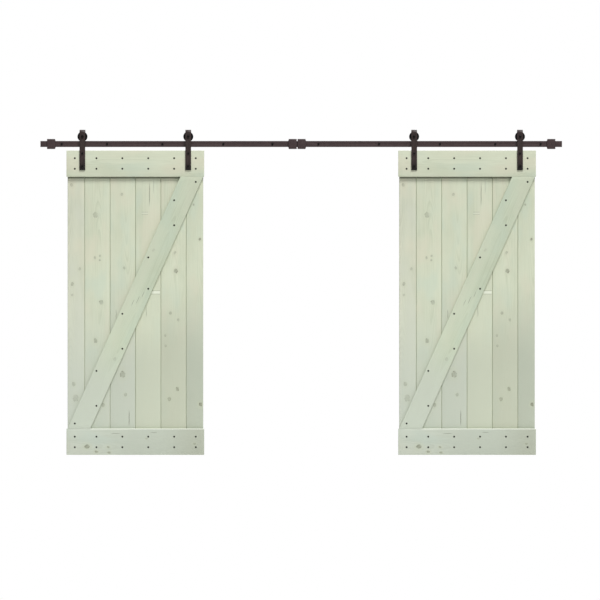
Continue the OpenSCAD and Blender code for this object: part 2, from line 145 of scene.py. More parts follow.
class Graph:
    """Adds nodes to a tree and feeds their inputs with numbers or other nodes' outputs."""

    def __init__(self, tree: bpy.types.NodeTree) -> None:
        """Keeps the tree that the nodes go into."""
        self.tree = tree

    def feed(self, target: Socket, value: Any) -> None:
        """Gives one input its value.

        Args:
            target: The input.
            value: A socket to link to it, or a plain value to set on it.
        """
        if isinstance(value, bpy.types.NodeSocket):
            self.tree.links.new(value, target)
        else:
            target.default_value = value

    def node(self, kind: str, inputs: dict[Any, Any] | None = None, **settings: Any) -> bpy.types.Node:
        """Adds one node.

        Args:
            kind: The node's type name.
            inputs: Values or sockets by input name or index.
            **settings: The node's own properties.

        Returns:
            The new node.
        """
        made = self.tree.nodes.new(kind)
        for name, value in settings.items():
            setattr(made, name, value)
        for key, value in (inputs or {}).items():
            self.feed(made.inputs[key], value)
        return made

    def math(self, operation: str, *values: Any, clamp: bool = False) -> Socket:
        """Adds a math node and returns its result."""
        inputs = dict(enumerate(values))
        return self.node("ShaderNodeMath", inputs, operation=operation, use_clamp=clamp).outputs[0]

    def plus(self, first: Any, second: Any, clamp: bool = False) -> Socket:
        """Adds two values."""
        return self.math("ADD", first, second, clamp=clamp)

    def minus(self, first: Any, second: Any, clamp: bool = False) -> Socket:
        """Takes the second value from the first."""
        return self.math("SUBTRACT", first, second, clamp=clamp)

    def times(self, first: Any, *others: Any) -> Socket:
        """Multiplies values, one after the other.

        Args:
            first: The first value.
            *others: The others.

        Returns:
            Their product.
        """
        for other in others:
            first = self.math("MULTIPLY", first, other)
        return first

    def over(self, first: Any, second: Any) -> Socket:
        """Divides the first value by the second."""
        return self.math("DIVIDE", first, second)

    def line(self, value: Any, slope: Any, start: Any) -> Socket:
        """Multiplies a value by a slope and adds a start."""
        return self.math("MULTIPLY_ADD", value, slope, start)

    def centred(self, value: Any) -> Socket:
        """Moves a value of 0 to 1 to the range round nought."""
        return self.minus(value, 0.5)

    def vector(self, x: Any, y: Any, z: Any) -> Socket:
        """Joins three numbers into a vector."""
        return self.node("ShaderNodeCombineXYZ", {0: x, 1: y, 2: z}).outputs[0]

    def parts(self, vector: Socket) -> tuple[Socket, Socket, Socket]:
        """Splits a vector into its three numbers."""
        out = self.node("ShaderNodeSeparateXYZ", {0: vector}).outputs
        return out[0], out[1], out[2]

    def away(self, place: Socket, centre: Socket) -> Socket:
        """Finds the way from a centre to a place."""
        return self.node("ShaderNodeVectorMath", {0: place, 1: centre}, operation="SUBTRACT").outputs[0]

    def scaled(self, vector: Socket, scale: Triple) -> Socket:
        """Multiplies a vector's numbers by three scales."""
        made = self.node("ShaderNodeVectorMath", {0: vector, 1: scale}, operation="MULTIPLY")
        return made.outputs[0]

    def noise(self, vector: Socket, scale: float, detail: float, rough: float = 0.5) -> Socket:
        """Adds a noise texture and returns its value from 0 to 1."""
        inputs = {"Vector": vector, "Scale": scale, "Detail": detail, "Roughness": rough}
        return self.node("ShaderNodeTexNoise", inputs).outputs[0]

    def step(self, value: Any, low: float, high: float, first: float = 0.0, last: float = 1.0) -> Socket:
        """Eases from first to last as the value goes from low to high."""
        inputs = {"Value": value, "From Min": low, "From Max": high, "To Min": first, "To Max": last}
        return self.node("ShaderNodeMapRange", inputs, interpolation_type="SMOOTHSTEP").outputs[0]

    def mix(self, share: Any, first: Any, second: Any) -> Socket:
        """Mixes two colours."""
        inputs = {0: share, 6: first, 7: second}
        return self.node("ShaderNodeMix", inputs, data_type="RGBA").outputs[2]

    def sockets(self, in_out: str, **kinds: str) -> None:
        """Names the inputs or outputs of a node group.

        Args:
            in_out: INPUT or OUTPUT.
            **kinds: Each socket's kind, such as Float, by its name.
        """
        for name, kind in kinds.items():
            title = name.replace("_", " ").title()
            self.tree.interface.new_socket(title, in_out=in_out, socket_type="NodeSocket" + kind)


def new_material(name: str) -> tuple[bpy.types.Material, Graph, bpy.types.Node]:
    """Makes an empty material with its principled shader.

    Args:
        name: The material's name.

    Returns:
        The material, its graph and the shader node.
    """
    material = bpy.data.materials.new(name)
    material.use_nodes = True
    material.node_tree.nodes.clear()
    graph = Graph(material.node_tree)
    shader = graph.node("ShaderNodeBsdfPrincipled")
    graph.node("ShaderNodeOutputMaterial", {0: shader.outputs[0]})
    return material, graph, shader


# Wood


@dataclass(frozen=True)
class Knot:
    """A knot on a board, in millimetres across and along its grain.

    A plank counts from the door's middle line and its bottom edge, the top and bottom boards
    from the door's bottom edge and its middle line, and the brace from its own middle.
    """

    across: float
    along: float
    radius: float
    dark: float


@dataclass(frozen=True)
class Streak:
    """A resin streak or drying crack along the grain, placed as a knot is."""

    across: float
    along: float
    half_width: float
    half_length: float
    dark: float


@dataclass(frozen=True)
class Patch:
    """A pale filled patch with a dark line at each end, placed as a knot is."""

    across: float
    along: float
    half_width: float
    half_height: float
    pale: float


@dataclass(frozen=True)
class Fade:
    """A slow change of colour along a board, placed as a knot is: painted shade that darkens the boards
    towards the door's foot and the right end of its bottom board.
    """

    start: float
    stop: float
    colour: Colour
    share: float


@dataclass(frozen=True)
class KnotGroup:
    """The node group that draws one knot. Its reaches are shares of the knot's radius."""

    drawn_out: float = 0.6
    ragged_stretch: Triple = (1.0, 1.0, 0.8)
    ragged_scale: float = 90.0
    ragged: float = 1.1
    bend_softness: float = 0.7
    mottle_scale: float = 170.0
    mottle: Easing = (0.3, 0.62, 0.55, 1.0)
    core: Span = (0.7, 1.25)
    rim_start: Span = (0.7, 0.92)
    rim_stop: Span = (0.98, 1.22)
    rings: float = 3.2
    ring_edge: Span = (0.55, 0.95)
    ring_fade: Easing = (0.75, 0.9, 0.6, 0.0)
    broken_scale: float = 60.0
    broken: Span = (0.42, 0.6)
    halo: Span = (0.9, 3.2)

    def build(self) -> bpy.types.NodeTree:
        """Builds the group, which bends the grain and marks the knot's core, rim and halo.

        Returns:
            The group. Its inputs also carry the marks of the knots before this one.
        """
        tree = bpy.data.node_groups.new("knot", "ShaderNodeTree")
        graph = Graph(tree)
        graph.sockets("INPUT", place="Vector", centre="Vector", radius="Float", dark="Float",
                      bend="Float", core="Float", rim="Float", halo="Float")
        graph.sockets("OUTPUT", bend="Float", core="Float", rim="Float", halo="Float")
        given = graph.node("NodeGroupInput").outputs
        place, dark = given["Place"], given["Dark"]
        across, _, along = graph.parts(graph.away(place, given["Centre"]))
        squared = graph.plus(graph.times(across, across), graph.times(along, along, self.drawn_out))
        reach = graph.over(graph.math("SQRT", squared), given["Radius"])
        ragged = graph.noise(graph.scaled(place, self.ragged_stretch), self.ragged_scale, 3.0, 0.6)
        reach = graph.plus(reach, graph.times(graph.centred(ragged), self.ragged))
        shift = graph.over(across, graph.plus(graph.times(reach, reach), self.bend_softness))
        patchy = graph.step(graph.noise(place, self.mottle_scale, 2.0, 0.6), *self.mottle)
        core = graph.times(graph.step(reach, *self.core, 1.0, 0.0), dark, patchy)
        band = graph.times(graph.step(reach, *self.rim_start), graph.step(reach, *self.rim_stop, 1.0, 0.0))
        inner = graph.math("FRACT", graph.times(reach, self.rings))
        inner = graph.times(graph.step(inner, *self.ring_edge), graph.step(reach, *self.ring_fade))
        broken = graph.step(graph.noise(place, self.broken_scale, 1.0), *self.broken)
        rim = graph.times(graph.math("MAXIMUM", band, inner), broken, dark)
        halo = graph.times(graph.step(reach, *self.halo, 1.0, 0.0), dark)
        made = graph.node("NodeGroupOutput")
        graph.feed(made.inputs["Bend"], graph.minus(given["Bend"], shift))
        for name, mark in (("Core", core), ("Rim", rim), ("Halo", halo)):
            graph.feed(made.inputs[name], graph.math("MAXIMUM", given[name], mark))
        return tree


@dataclass(frozen=True)
class StreakGroup:
    """The node group that draws one thin streak. Its softness is in shares of the half sizes."""

    sway_scale: float = 26.0
    sway: float = 6 * MM
    soft_side: float = 0.3
    soft_end: float = 0.35

    def build(self) -> bpy.types.NodeTree:
        """Builds the group, which marks a streak along the grain.

        Returns:
            The group. Its inputs also carry the mark of the streaks before this one.
        """
        tree = bpy.data.node_groups.new("streak", "ShaderNodeTree")
        graph = Graph(tree)
        graph.sockets("INPUT", place="Vector", centre="Vector", half_width="Float",
                      half_length="Float", dark="Float", mark="Float")
        graph.sockets("OUTPUT", mark="Float")
        given = graph.node("NodeGroupInput").outputs
        across, _, along = graph.parts(graph.away(given["Place"], given["Centre"]))
        sway = graph.noise(graph.scaled(given["Place"], (0.0, 0.0, 1.0)), self.sway_scale, 2.0)
        across = graph.plus(across, graph.times(graph.centred(sway), self.sway))
        wide = graph.over(graph.math("ABSOLUTE", across), given["Half Width"])
        long = graph.over(graph.math("ABSOLUTE", along), given["Half Length"])
        mark = graph.times(graph.step(wide, self.soft_side, 1.0, 1.0, 0.0),
                           graph.step(long, self.soft_end, 1.0, 1.0, 0.0), given["Dark"])
        made = graph.node("NodeGroupOutput")
        graph.feed(made.inputs[0], graph.math("MAXIMUM", given["Mark"], mark))
        return tree


@dataclass(frozen=True)
class Mottle:
    """A noise's scale across, through and along a board, its detail and its roughness."""

    scale: Triple
    detail: float
    rough: float = 0.5


MOTTLES = {
    "Fibre": Mottle((620.0, 620.0, 11.0), 3.0, 0.62),
    "Streaks": Mottle((95.0, 95.0, 1.15), 3.0, 0.6),
    "Cloud": Mottle((7.0, 7.0, 2.2), 3.0, 0.55),
    "Hue": Mottle((6.5, 6.5, 2.6), 2.0),
    "Pores": Mottle((1500.0, 1500.0, 60.0), 1.0),
}


@dataclass(frozen=True)
class FigureGroup:
    """The node group for a board's own figure, with its sizes in metres."""

    ring_width: float = 6.2 * MM
    late_start: Span = (0.35, 0.9)
    late_stop: Span = (0.93, 1.0)
    heart_sway: float = 110 * MM
    heart_sway_scale: float = 1.25
    heart_depth: float = -12 * MM
    warp_across: float = 12.0
    warp_along: float = 1.6
    warp: float = 1.8
    sway_row: float = 3.1
    depth_row: float = 7.7

    def build(self) -> bpy.types.NodeTree:
        """Builds the group for rings about the tree's heart, fibres, streaks and cloudy stain.

        Returns:
            The group, with one output for each part of the figure.
        """
        tree = bpy.data.node_groups.new("pine_figure", "ShaderNodeTree")
        graph = Graph(tree)
        graph.sockets("INPUT", place="Vector", bend="Float", seed="Float", heart="Float")
        graph.sockets("OUTPUT", rings="Float", **dict.fromkeys(MOTTLES, "Float"))
        given = graph.node("NodeGroupInput").outputs
        across, depth, along = graph.parts(given["Place"])
        seed = given["Seed"]
        bent = graph.plus(across, given["Bend"])
        sway = graph.noise(graph.vector(seed, self.sway_row, along), self.heart_sway_scale, 1.0)
        under = graph.noise(graph.vector(self.depth_row, seed, along), 1.0, 1.0)
        sideways = graph.minus(graph.minus(bent, given["Heart"]),
                               graph.times(graph.centred(sway), self.heart_sway))
        deep = graph.plus(depth, graph.line(under, self.heart_sway, self.heart_depth))
        squared = graph.plus(graph.times(sideways, sideways), graph.times(deep, deep))
        warp = graph.noise(graph.vector(graph.times(bent, self.warp_across), seed,
                                        graph.times(along, self.warp_along)), 1.0, 3.0)
        rings = graph.over(graph.math("SQRT", squared), self.ring_width)
        ring = graph.math("FRACT", graph.plus(rings, graph.times(warp, self.warp)))
        late = graph.times(graph.step(ring, *self.late_start), graph.step(ring, *self.late_stop, 1.0, 0.0))
        moved = graph.vector(bent, depth, graph.plus(along, seed))
        made = graph.node("NodeGroupOutput")
        graph.feed(made.inputs["Rings"], late)
        for name, mottle in MOTTLES.items():
            grown = graph.noise(graph.scaled(moved, mottle.scale), 1.0, mottle.detail, mottle.rough)
            graph.feed(made.inputs[name], grown)
        return tree


@dataclass(frozen=True)
class BoardSetting:
    """Where screws and other boards meet a board, in metres on the board's own place.

    The corner is how far along the grain another board's edge crosses it, and the highlight edge is
    the place across of its upper edge with where along the grain that edge starts to show. Painted
    shade is laid round the heads and just below the corner, and a painted highlight along the highlight
    edge.
    """

    heads: tuple[Vector, ...] = ()
    head_radius: float = 0.0
    corner: float = 0.0
    highlight_edge: Span | None = None


@dataclass(frozen=True)
class Stain:
    """How the stain takes on every board, with the painted shade and highlight laid over it: shares of its
    shades, and lengths in metres.
    """

    start: float = 0.56
    cloud: float = 1.15
    streaks: float = 0.55
    fibre: float = 0.58
    rings: float = -0.22
    warmth: Easing = (0.48, 0.68, 0.0, 0.6)
    coolness: Easing = (0.34, 0.5, 0.6, 0.0)
    halo: float = 0.5
    pore_sizes: Span = (0.62, 0.8)
    pores: float = 0.14
    seam_depth: Span = (0.6 * MM, 3.2 * MM)
    seam: float = 0.75
    end_grain: float = 0.65
    front_depth: Span = (1.5 * MM, 3.5 * MM)
    # Painted shade round each screw head: how far it reaches past the head, and its strength.
    head_shade_reach: Span = (0.9 * MM, 3.1 * MM)
    pool: float = 0.96
    # Painted shadow on the planks just below the top board's lower edge: how far it reaches, and its
    # strength.
    corner_shadow_reach: Span = (17 * MM, 7 * MM)
    corner: float = 0.72
    # Painted highlight along the bottom board's upper edge: its reach, its soft start, and its strength.
    highlight_reach: Span = (4.2 * MM, 2.7 * MM)
    highlight_end: float = 3 * MM
    pale: float = 0.88
    patch_side: float = 2 * MM
    patch_rim: float = 2.5 * MM
    patch_line_start: Span = (-1 * MM, 1.5 * MM)
    patch_line_stop: Span = (2.5 * MM, 5 * MM)
    patch_line: float = 0.45
    rough: float = 0.47
    fibre_rough: float = 0.22
    knot_rough: float = -0.08
    specular: float = 0.28
    relief: float = 0.75
    relief_height: float = 0.32 * MM
    ring_relief: float = 0.3
    fibre_relief: float = 0.6
    knot_relief: float = 0.5
    rim_relief: float = 0.9
    streak_relief: float = 2.0


STAIN = Stain()


@dataclass(frozen=True)
class StainedPine:
    """A semi-opaque sage stain on one knotty pine board."""

    name: str
    seed: float
    heart: float
    knots: tuple[Knot, ...] = ()
    streaks: tuple[Streak, ...] = ()
    patches: tuple[Patch, ...] = ()
    fades: tuple[Fade, ...] = ()
    tone: float = 0.0
    light: Colour = tint(213, 219, 197)
    middle: Colour = tint(205, 211, 188)
    deep: Colour = tint(186, 194, 169)
    warm: Colour = tint(212, 210, 188)
    cool: Colour = tint(196, 208, 189)
    halo: Colour = tint(184, 190, 166)
    core: Colour = tint(132, 135, 117)
    rim: Colour = tint(84, 83, 68)
    groove: Colour = tint(165, 174, 147)
    end_grain: Colour = tint(168, 176, 146)
    filler: Colour = tint(232, 236, 222)
    # The dark colour of the painted shade round screw heads and the painted shadow below the top board.
    painted_shade: Colour = tint(52, 54, 42)
    # The colour of the painted highlight along an upper edge.
    pale: Colour = tint(243, 246, 236)

    def material(self, groups: dict[str, bpy.types.NodeTree], setting: BoardSetting) -> bpy.types.Material:
        """Builds the board's material on its own place attribute.

        Args:
            groups: The shared node groups by name.
            setting: Where screws and neighbouring boards meet this one.

        Returns:
            The finished material.
        """
        material, graph, shader = new_material(self.name)
        place = graph.node("ShaderNodeAttribute", attribute_name="place").outputs["Vector"]
        knots: dict[str, Any] = {"Bend": 0.0, "Core": 0.0, "Rim": 0.0, "Halo": 0.0}
        for knot in self.knots:
            inputs = dict(knots, Place=place, Centre=(knot.across * MM, 0.0, knot.along * MM),
                          Radius=knot.radius * MM, Dark=knot.dark)
            out = graph.node("ShaderNodeGroup", inputs, node_tree=groups["knot"]).outputs
            knots = {name: out[name] for name in knots}
        mark: Any = 0.0
        for streak in self.streaks:
            inputs = {"Place": place, "Centre": (streak.across * MM, 0.0, streak.along * MM),
                      "Half Width": streak.half_width * MM, "Half Length": streak.half_length * MM,
                      "Dark": streak.dark, "Mark": mark}
            mark = graph.node("ShaderNodeGroup", inputs, node_tree=groups["streak"]).outputs[0]
        inputs = {"Place": place, "Bend": knots["Bend"], "Seed": self.seed, "Heart": self.heart * MM}
        figure = graph.node("ShaderNodeGroup", inputs, node_tree=groups["figure"]).outputs
        colour = self._colour(graph, place, figure, knots, mark)
        graph.feed(shader.inputs["Base Color"], self._painted_light(graph, colour, place, setting))
        rough = graph.line(figure["Fibre"], STAIN.fibre_rough, STAIN.rough)
        rough = graph.plus(rough, graph.times(knots["Core"], STAIN.knot_rough))
        graph.feed(shader.inputs["Roughness"], rough)
        shader.inputs["Specular IOR Level"].default_value = STAIN.specular
        graph.feed(shader.inputs["Normal"], self._relief(graph, figure, knots, mark))
        return material

    def _stain(self, graph: Graph, figure: Any) -> Socket:
        """Mixes the stain's shades by the wood's figure, with warmer and cooler clouds.

        Args:
            graph: The material's graph.
            figure: The figure group's outputs.

        Returns:
            The stain's colour.
        """
        share = graph.line(graph.centred(figure["Cloud"]), STAIN.cloud, STAIN.start + self.tone)
        share = graph.line(graph.centred(figure["Streaks"]), STAIN.streaks, share)
        share = graph.line(graph.centred(figure["Fibre"]), STAIN.fibre, share)
        share = graph.line(figure["Rings"], STAIN.rings, share)
        ramp = graph.node("ShaderNodeValToRGB", {0: share})
        for position, colour in enumerate((self.deep, self.light)):
            ramp.color_ramp.elements[position].color = colour
        ramp.color_ramp.elements.new(0.5).color = self.middle
        colour = graph.mix(graph.step(figure["Hue"], *STAIN.warmth), ramp.outputs[0], self.warm)
        return graph.mix(graph.step(figure["Hue"], *STAIN.coolness), colour, self.cool)

    def _colour(self, graph: Graph, place: Socket, figure: Any, knots: dict[str, Any],
                mark: Any) -> Socket:
        """Adds fades of painted shade, knots, streaks, patches, seams and cut ends to the stain.

        Args:
            graph: The material's graph.
            place: The place on the board.
            figure: The figure group's outputs.
            knots: The marks of all the knots.
            mark: The mark of all the streaks.

        Returns:
            The board's colour.
        """
        across, depth, along = graph.parts(place)
        colour = self._stain(graph, figure)
        # The fades are painted shade, darker towards the door's foot.
        for fade in self.fades:
            low, high = sorted((fade.start, fade.stop))
            ends = (0.0, fade.share) if fade.stop > fade.start else (fade.share, 0.0)
            colour = graph.mix(graph.step(along, low * MM, high * MM, *ends), colour, fade.colour)
        colour = graph.mix(graph.times(knots["Halo"], STAIN.halo), colour, self.halo)
        colour = graph.mix(knots["Core"], colour, self.core)
        colour = graph.mix(knots["Rim"], colour, self.rim)
        colour = graph.mix(mark, colour, self.rim)
        for patch in self.patches:
            colour = self._patched(graph, colour, patch, across, along)
        pores = graph.times(graph.step(figure["Pores"], *STAIN.pore_sizes), STAIN.pores)
        colour = graph.mix(pores, colour, self.groove)
        sunk = graph.times(graph.step(depth, *STAIN.seam_depth), STAIN.seam)
        colour = graph.mix(sunk, colour, self.groove)
        end = graph.node("ShaderNodeAttribute", attribute_name="cut_end").outputs["Fac"]
        return graph.mix(graph.times(end, STAIN.end_grain), colour, self.end_grain)

    def _painted_light(self, graph: Graph, colour: Socket, place: Socket, setting: BoardSetting) -> Socket:
        """Adds painted shade round screw heads and just below another board's edge, and a painted
        highlight along an upper edge.

        Args:
            graph: The material's graph.
            colour: The colour so far.
            place: The place on the board.
            setting: Where screws and neighbouring boards meet this one.

        Returns:
            The changed colour.
        """
        across, depth, along = graph.parts(place)
        flat = graph.vector(across, 0.0, along)
        front = graph.step(depth, *STAIN.front_depth, 1.0, 0.0)
        nearest: Any = None
        for head in setting.heads:
            gap = graph.node("ShaderNodeVectorMath", {0: flat, 1: tuple(head)}, operation="DISTANCE")
            away = gap.outputs["Value"]
            nearest = away if nearest is None else graph.math("MINIMUM", nearest, away)
        if nearest is not None:
            # Painted shade round the nearest screw head.
            low, high = (setting.head_radius + reach for reach in STAIN.head_shade_reach)
            colour = graph.mix(graph.step(nearest, low, high, STAIN.pool, 0.0), colour, self.painted_shade)
        if setting.corner:
            # Painted shadow just below another board's edge, on the front faces only.
            low, high = (setting.corner - reach for reach in STAIN.corner_shadow_reach)
            shade = graph.step(along, low, high, 0.0, STAIN.corner)
            colour = graph.mix(graph.times(shade, front), colour, self.painted_shade)
        if setting.highlight_edge:
            # Painted highlight along the upper edge, from where it starts to show.
            edge, start = setting.highlight_edge
            low, high = (edge - reach for reach in STAIN.highlight_reach)
            shown = graph.step(along, start - STAIN.highlight_end, start + STAIN.highlight_end)
            band = graph.times(graph.step(across, low, high, 0.0, STAIN.pale), shown, front)
            colour = graph.mix(band, colour, self.pale)
        return colour

    def _patched(self, graph: Graph, colour: Socket, patch: Patch, across: Socket,
                 along: Socket) -> Socket:
        """Lays one pale patch with its two dark edge lines over the colour.

        Args:
            graph: The material's graph.
            colour: The colour so far.
            patch: The patch.
            across: The place across the board.
            along: The place along the board.

        Returns:
            The changed colour.
        """
        side, rim = patch.half_width * MM, patch.half_height * MM
        wide = graph.math("ABSOLUTE", graph.minus(across, patch.across * MM))
        tall = graph.math("ABSOLUTE", graph.minus(along, patch.along * MM))
        inside = graph.step(wide, side - STAIN.patch_side, side, 1.0, 0.0)
        body = graph.step(tall, rim - STAIN.patch_rim, rim, patch.pale, 0.0)
        starts = graph.step(tall, *(rim + reach for reach in STAIN.patch_line_start))
        stops = graph.step(tall, *(rim + reach for reach in STAIN.patch_line_stop), STAIN.patch_line, 0.0)
        colour = graph.mix(graph.times(inside, body), colour, self.filler)
        return graph.mix(graph.times(inside, graph.times(starts, stops)), colour, self.core)

    @staticmethod
    def _relief(graph: Graph, figure: Any, knots: dict[str, Any], mark: Any) -> Socket:
        """Builds the relief of raised late wood, fibres, sunk streaks and dished knots.

        Args:
            graph: The material's graph.
            figure: The figure group's outputs.
            knots: The marks of all the knots.
            mark: The mark of all the streaks.

        Returns:
            The bumped normal.
        """
        height = graph.line(figure["Rings"], STAIN.ring_relief, STAIN.ring_relief)
        height = graph.plus(height, graph.times(figure["Fibre"], STAIN.fibre_relief))
        height = graph.plus(height, graph.times(knots["Core"], STAIN.knot_relief))
        height = graph.minus(height, graph.times(knots["Rim"], STAIN.rim_relief))
        height = graph.minus(height, graph.times(mark, STAIN.streak_relief))
        return graph.node("ShaderNodeBump", {"Strength": STAIN.relief, "Distance": STAIN.relief_height,
                                             "Height": height}).outputs[0]


# Metals and plastics


@dataclass(frozen=True)
class LowShade:
    """Painted shade: a darker colour that a coated piece is drawn with below a height, in millimetres."""

    high: float
    low: float
    colour: Colour
    share: float = 0.8


@dataclass(frozen=True)
class Coating:
    """A coated, plated or moulded finish with fine texture, cloudiness and worn edges."""

    name: str
    colour: Colour
    second: Colour
    worn: Colour
    rough: Span
    relief: float
    wear: float
    metallic: float = 0.0
    grain: float = 900.0
    specular: float = 0.5
    low_shade: LowShade | None = None
    cloud_scale: float = 38.0
    cloud: Easing = (0.3, 0.72, 0.0, 0.7)
    speck_sizes: Span = (0.66, 0.74)
    speck_scale: float = 0.45  # of the grain's
    specks: float = 0.3
    edge_width: float = 1.1 * MM
    edge_turn: Span = (0.8, 0.995)
    wear_scale: float = 90.0
    wear_patches: Span = (0.42, 0.66)
    rough_scale: float = 60.0
    relief_strength: float = 0.6

    def material(self) -> bpy.types.Material:
        """Builds the finish on object coordinates.

        Returns:
            The finished material.
        """
        material, graph, shader = new_material(self.name)
        place = graph.node("ShaderNodeTexCoord").outputs["Object"]
        cloud = graph.noise(place, self.cloud_scale, 4.0, 0.6)
        grain = graph.noise(place, self.grain, 2.0, 0.55)
        specks = graph.step(graph.noise(place, self.grain * self.speck_scale, 1.0), *self.speck_sizes)
        share = graph.plus(graph.step(cloud, *self.cloud), graph.times(specks, self.specks), clamp=True)
        colour = graph.mix(share, self.colour, self.second)
        # Painted shade: darker below a height.
        if self.low_shade:
            low, high = self.low_shade.low * MM, self.low_shade.high * MM
            below = graph.step(graph.parts(place)[2], low, high, self.low_shade.share, 0.0)
            colour = graph.mix(below, colour, self.low_shade.colour)
        bevelled = graph.node("ShaderNodeBevel", {"Radius": self.edge_width}, samples=4).outputs[0]
        true = graph.node("ShaderNodeNewGeometry").outputs["Normal"]
        along = graph.node("ShaderNodeVectorMath", {0: bevelled, 1: true}, operation="DOT_PRODUCT")
        edge = graph.step(along.outputs["Value"], *self.edge_turn, 1.0, 0.0)
        patchy = graph.step(graph.noise(place, self.wear_scale, 3.0, 0.65), *self.wear_patches)
        edge = graph.times(edge, patchy, self.wear)
        graph.feed(shader.inputs["Base Color"], graph.mix(edge, colour, self.worn))
        uneven = graph.noise(place, self.rough_scale, 3.0, 0.6)
        rough = graph.node("ShaderNodeMapRange", {"Value": uneven, "To Min": self.rough[0],
                                                  "To Max": self.rough[1]})
        graph.feed(shader.inputs["Roughness"], rough.outputs[0])
        shader.inputs["Metallic"].default_value = self.metallic
        shader.inputs["Specular IOR Level"].default_value = self.specular
        relief = graph.node("ShaderNodeBump", {"Strength": self.relief_strength,
                                               "Distance": self.relief * MM, "Height": grain})
        graph.feed(shader.inputs["Normal"], relief.outputs[0])
        return material


FINISHES = {
    Slot.BRONZE: Coating("dark_bronze_coat", tint(58, 44, 45), tint(68, 52, 52), tint(96, 79, 73),
                         rough=(0.38, 0.52), relief=0.06, wear=0.55),
    Slot.SCREW: Coating("black_screw_finish", tint(9, 8, 8), tint(16, 15, 15), tint(52, 49, 46),
                        rough=(0.45, 0.6), relief=0.03, wear=0.35, specular=0.2),
    Slot.NYLON: Coating("black_nylon_finish", tint(14, 13, 14), tint(22, 21, 22), tint(48, 47, 47),
                        rough=(0.4, 0.55), grain=1400.0, relief=0.02, wear=0.3, specular=0.25),
    Slot.ZINC: Coating("zinc_plate", tint(176, 178, 182), tint(152, 155, 160), tint(205, 206, 208),
                       rough=(0.24, 0.42), metallic=1.0, grain=500.0, relief=0.02, wear=0.4),
    Slot.BEARING: Coating("ground_bearing_steel", tint(186, 187, 190), tint(170, 171, 175),
                          tint(214, 214, 216), rough=(0.16, 0.28), metallic=1.0, grain=2200.0,
                          relief=0.008, wear=0.3),
}
# The straps are drawn darker towards their lower ends: painted shade over their dark bronze coat.
STRAP = Coating("dark_bronze_strap_coat_and_painted_shade", tint(50, 40, 39), tint(58, 46, 44), tint(90, 75, 68),
                rough=(0.4, 0.54), relief=0.06, wear=0.5, specular=0.36,
                low_shade=LowShade(-118.0, -180.0, tint(9, 9, 7)))
# The bolts are drawn near black, darker than their dark bronze coat: painted shade standing in for the
# shade round and below their heads.
BOLT = Coating("dark_bronze_bolt_coat_and_painted_shade", tint(9, 7, 7), tint(15, 12, 12), tint(74, 62, 56),
               rough=(0.3, 0.42), relief=0.03, wear=0.4, specular=0.28)
SEAL = Coating("bearing_seal", tint(34, 32, 32), tint(44, 42, 41), tint(60, 58, 57),
               rough=(0.5, 0.68), grain=700.0, relief=0.03, wear=0.2, specular=0.4)


# Meshes


def rounded(corners: Sequence[Triple], steps: int = 3) -> Outline:
    """Rounds the corners of a closed outline.

    Args:
        corners: Each corner's x, y and radius.
        steps: How many straight pieces make each round.

    Returns:
        The outline's points, as many for any radius.
    """
    points: Outline = []
    for i, (x, y, radius) in enumerate(corners):
        here = Vector((x, y))
        back = Vector(corners[i - 1][:2]) - here
        ahead = Vector(corners[(i + 1) % len(corners)][:2]) - here
        half = back.angle(ahead) / 2
        reach = min(radius / math.tan(half), CORNER_LIMIT * back.length, CORNER_LIMIT * ahead.length)
        start = here + back.normalized() * reach
        stop = here + ahead.normalized() * reach
        bend = reach * math.tan(half)
        towards = (back.normalized() + ahead.normalized()).normalized()
        centre = here + towards * (bend / math.sin(half))
        first, last = start - centre, stop - centre
        turn = first.angle_signed(last)
        for k in range(steps + 1):
            angle = -turn * k / steps
            cosine, sine = math.cos(angle), math.sin(angle)
            spoke = Vector((first.x * cosine - first.y * sine, first.x * sine + first.y * cosine))
            points.append(tuple(centre + spoke))
    return points


def shrunk(outline: Outline, amount: float) -> Outline:
    """Draws a closed outline in.

    Args:
        outline: The outline's points.
        amount: How far each point moves inwards.

    Returns:
        The moved points.
    """
    area = sum(outline[i - 1][0] * outline[i][1] - outline[i][0] * outline[i - 1][1]
               for i in range(len(outline)))
    turn = 1.0 if area > 0 else -1.0
    moved: Outline = []
    for i, (x, y) in enumerate(outline):
        before, after = outline[i - 1], outline[(i + 1) % len(outline)]
        normal = Vector((-(after[1] - before[1]), after[0] - before[0]))
        if normal.length > 0:
            normal.normalize()
        moved.append((x + turn * amount * normal.x, y + turn * amount * normal.y))
    return moved


def eased_stations(low: float, high: float, spacing: float, ease: float) -> list[Span]:
    """Spaces stations along a board, closer together at its eased ends.

    Args:
        low: Where the board starts.
        high: Where it ends.
        spacing: Distance between stations.
        ease: Radius of the rounded end edges.

    Returns:
        Each station's place and how far its outline is drawn in.
    """
    turns = [math.radians(a) for a in (0, 30, 60, 90)]
    ends = [(ease * (1 - math.cos(a)), ease * (1 - math.sin(a))) for a in turns]
    count = max(2, round((high - low - 2 * ease) / spacing))
    inner = [low + ease + (high - low - 2 * ease) * i / count for i in range(1, count)]
    return ([(low + d, e) for d, e in ends] + [(z, 0.0) for z in inner]
            + [(high - d, e) for d, e in reversed(ends)])


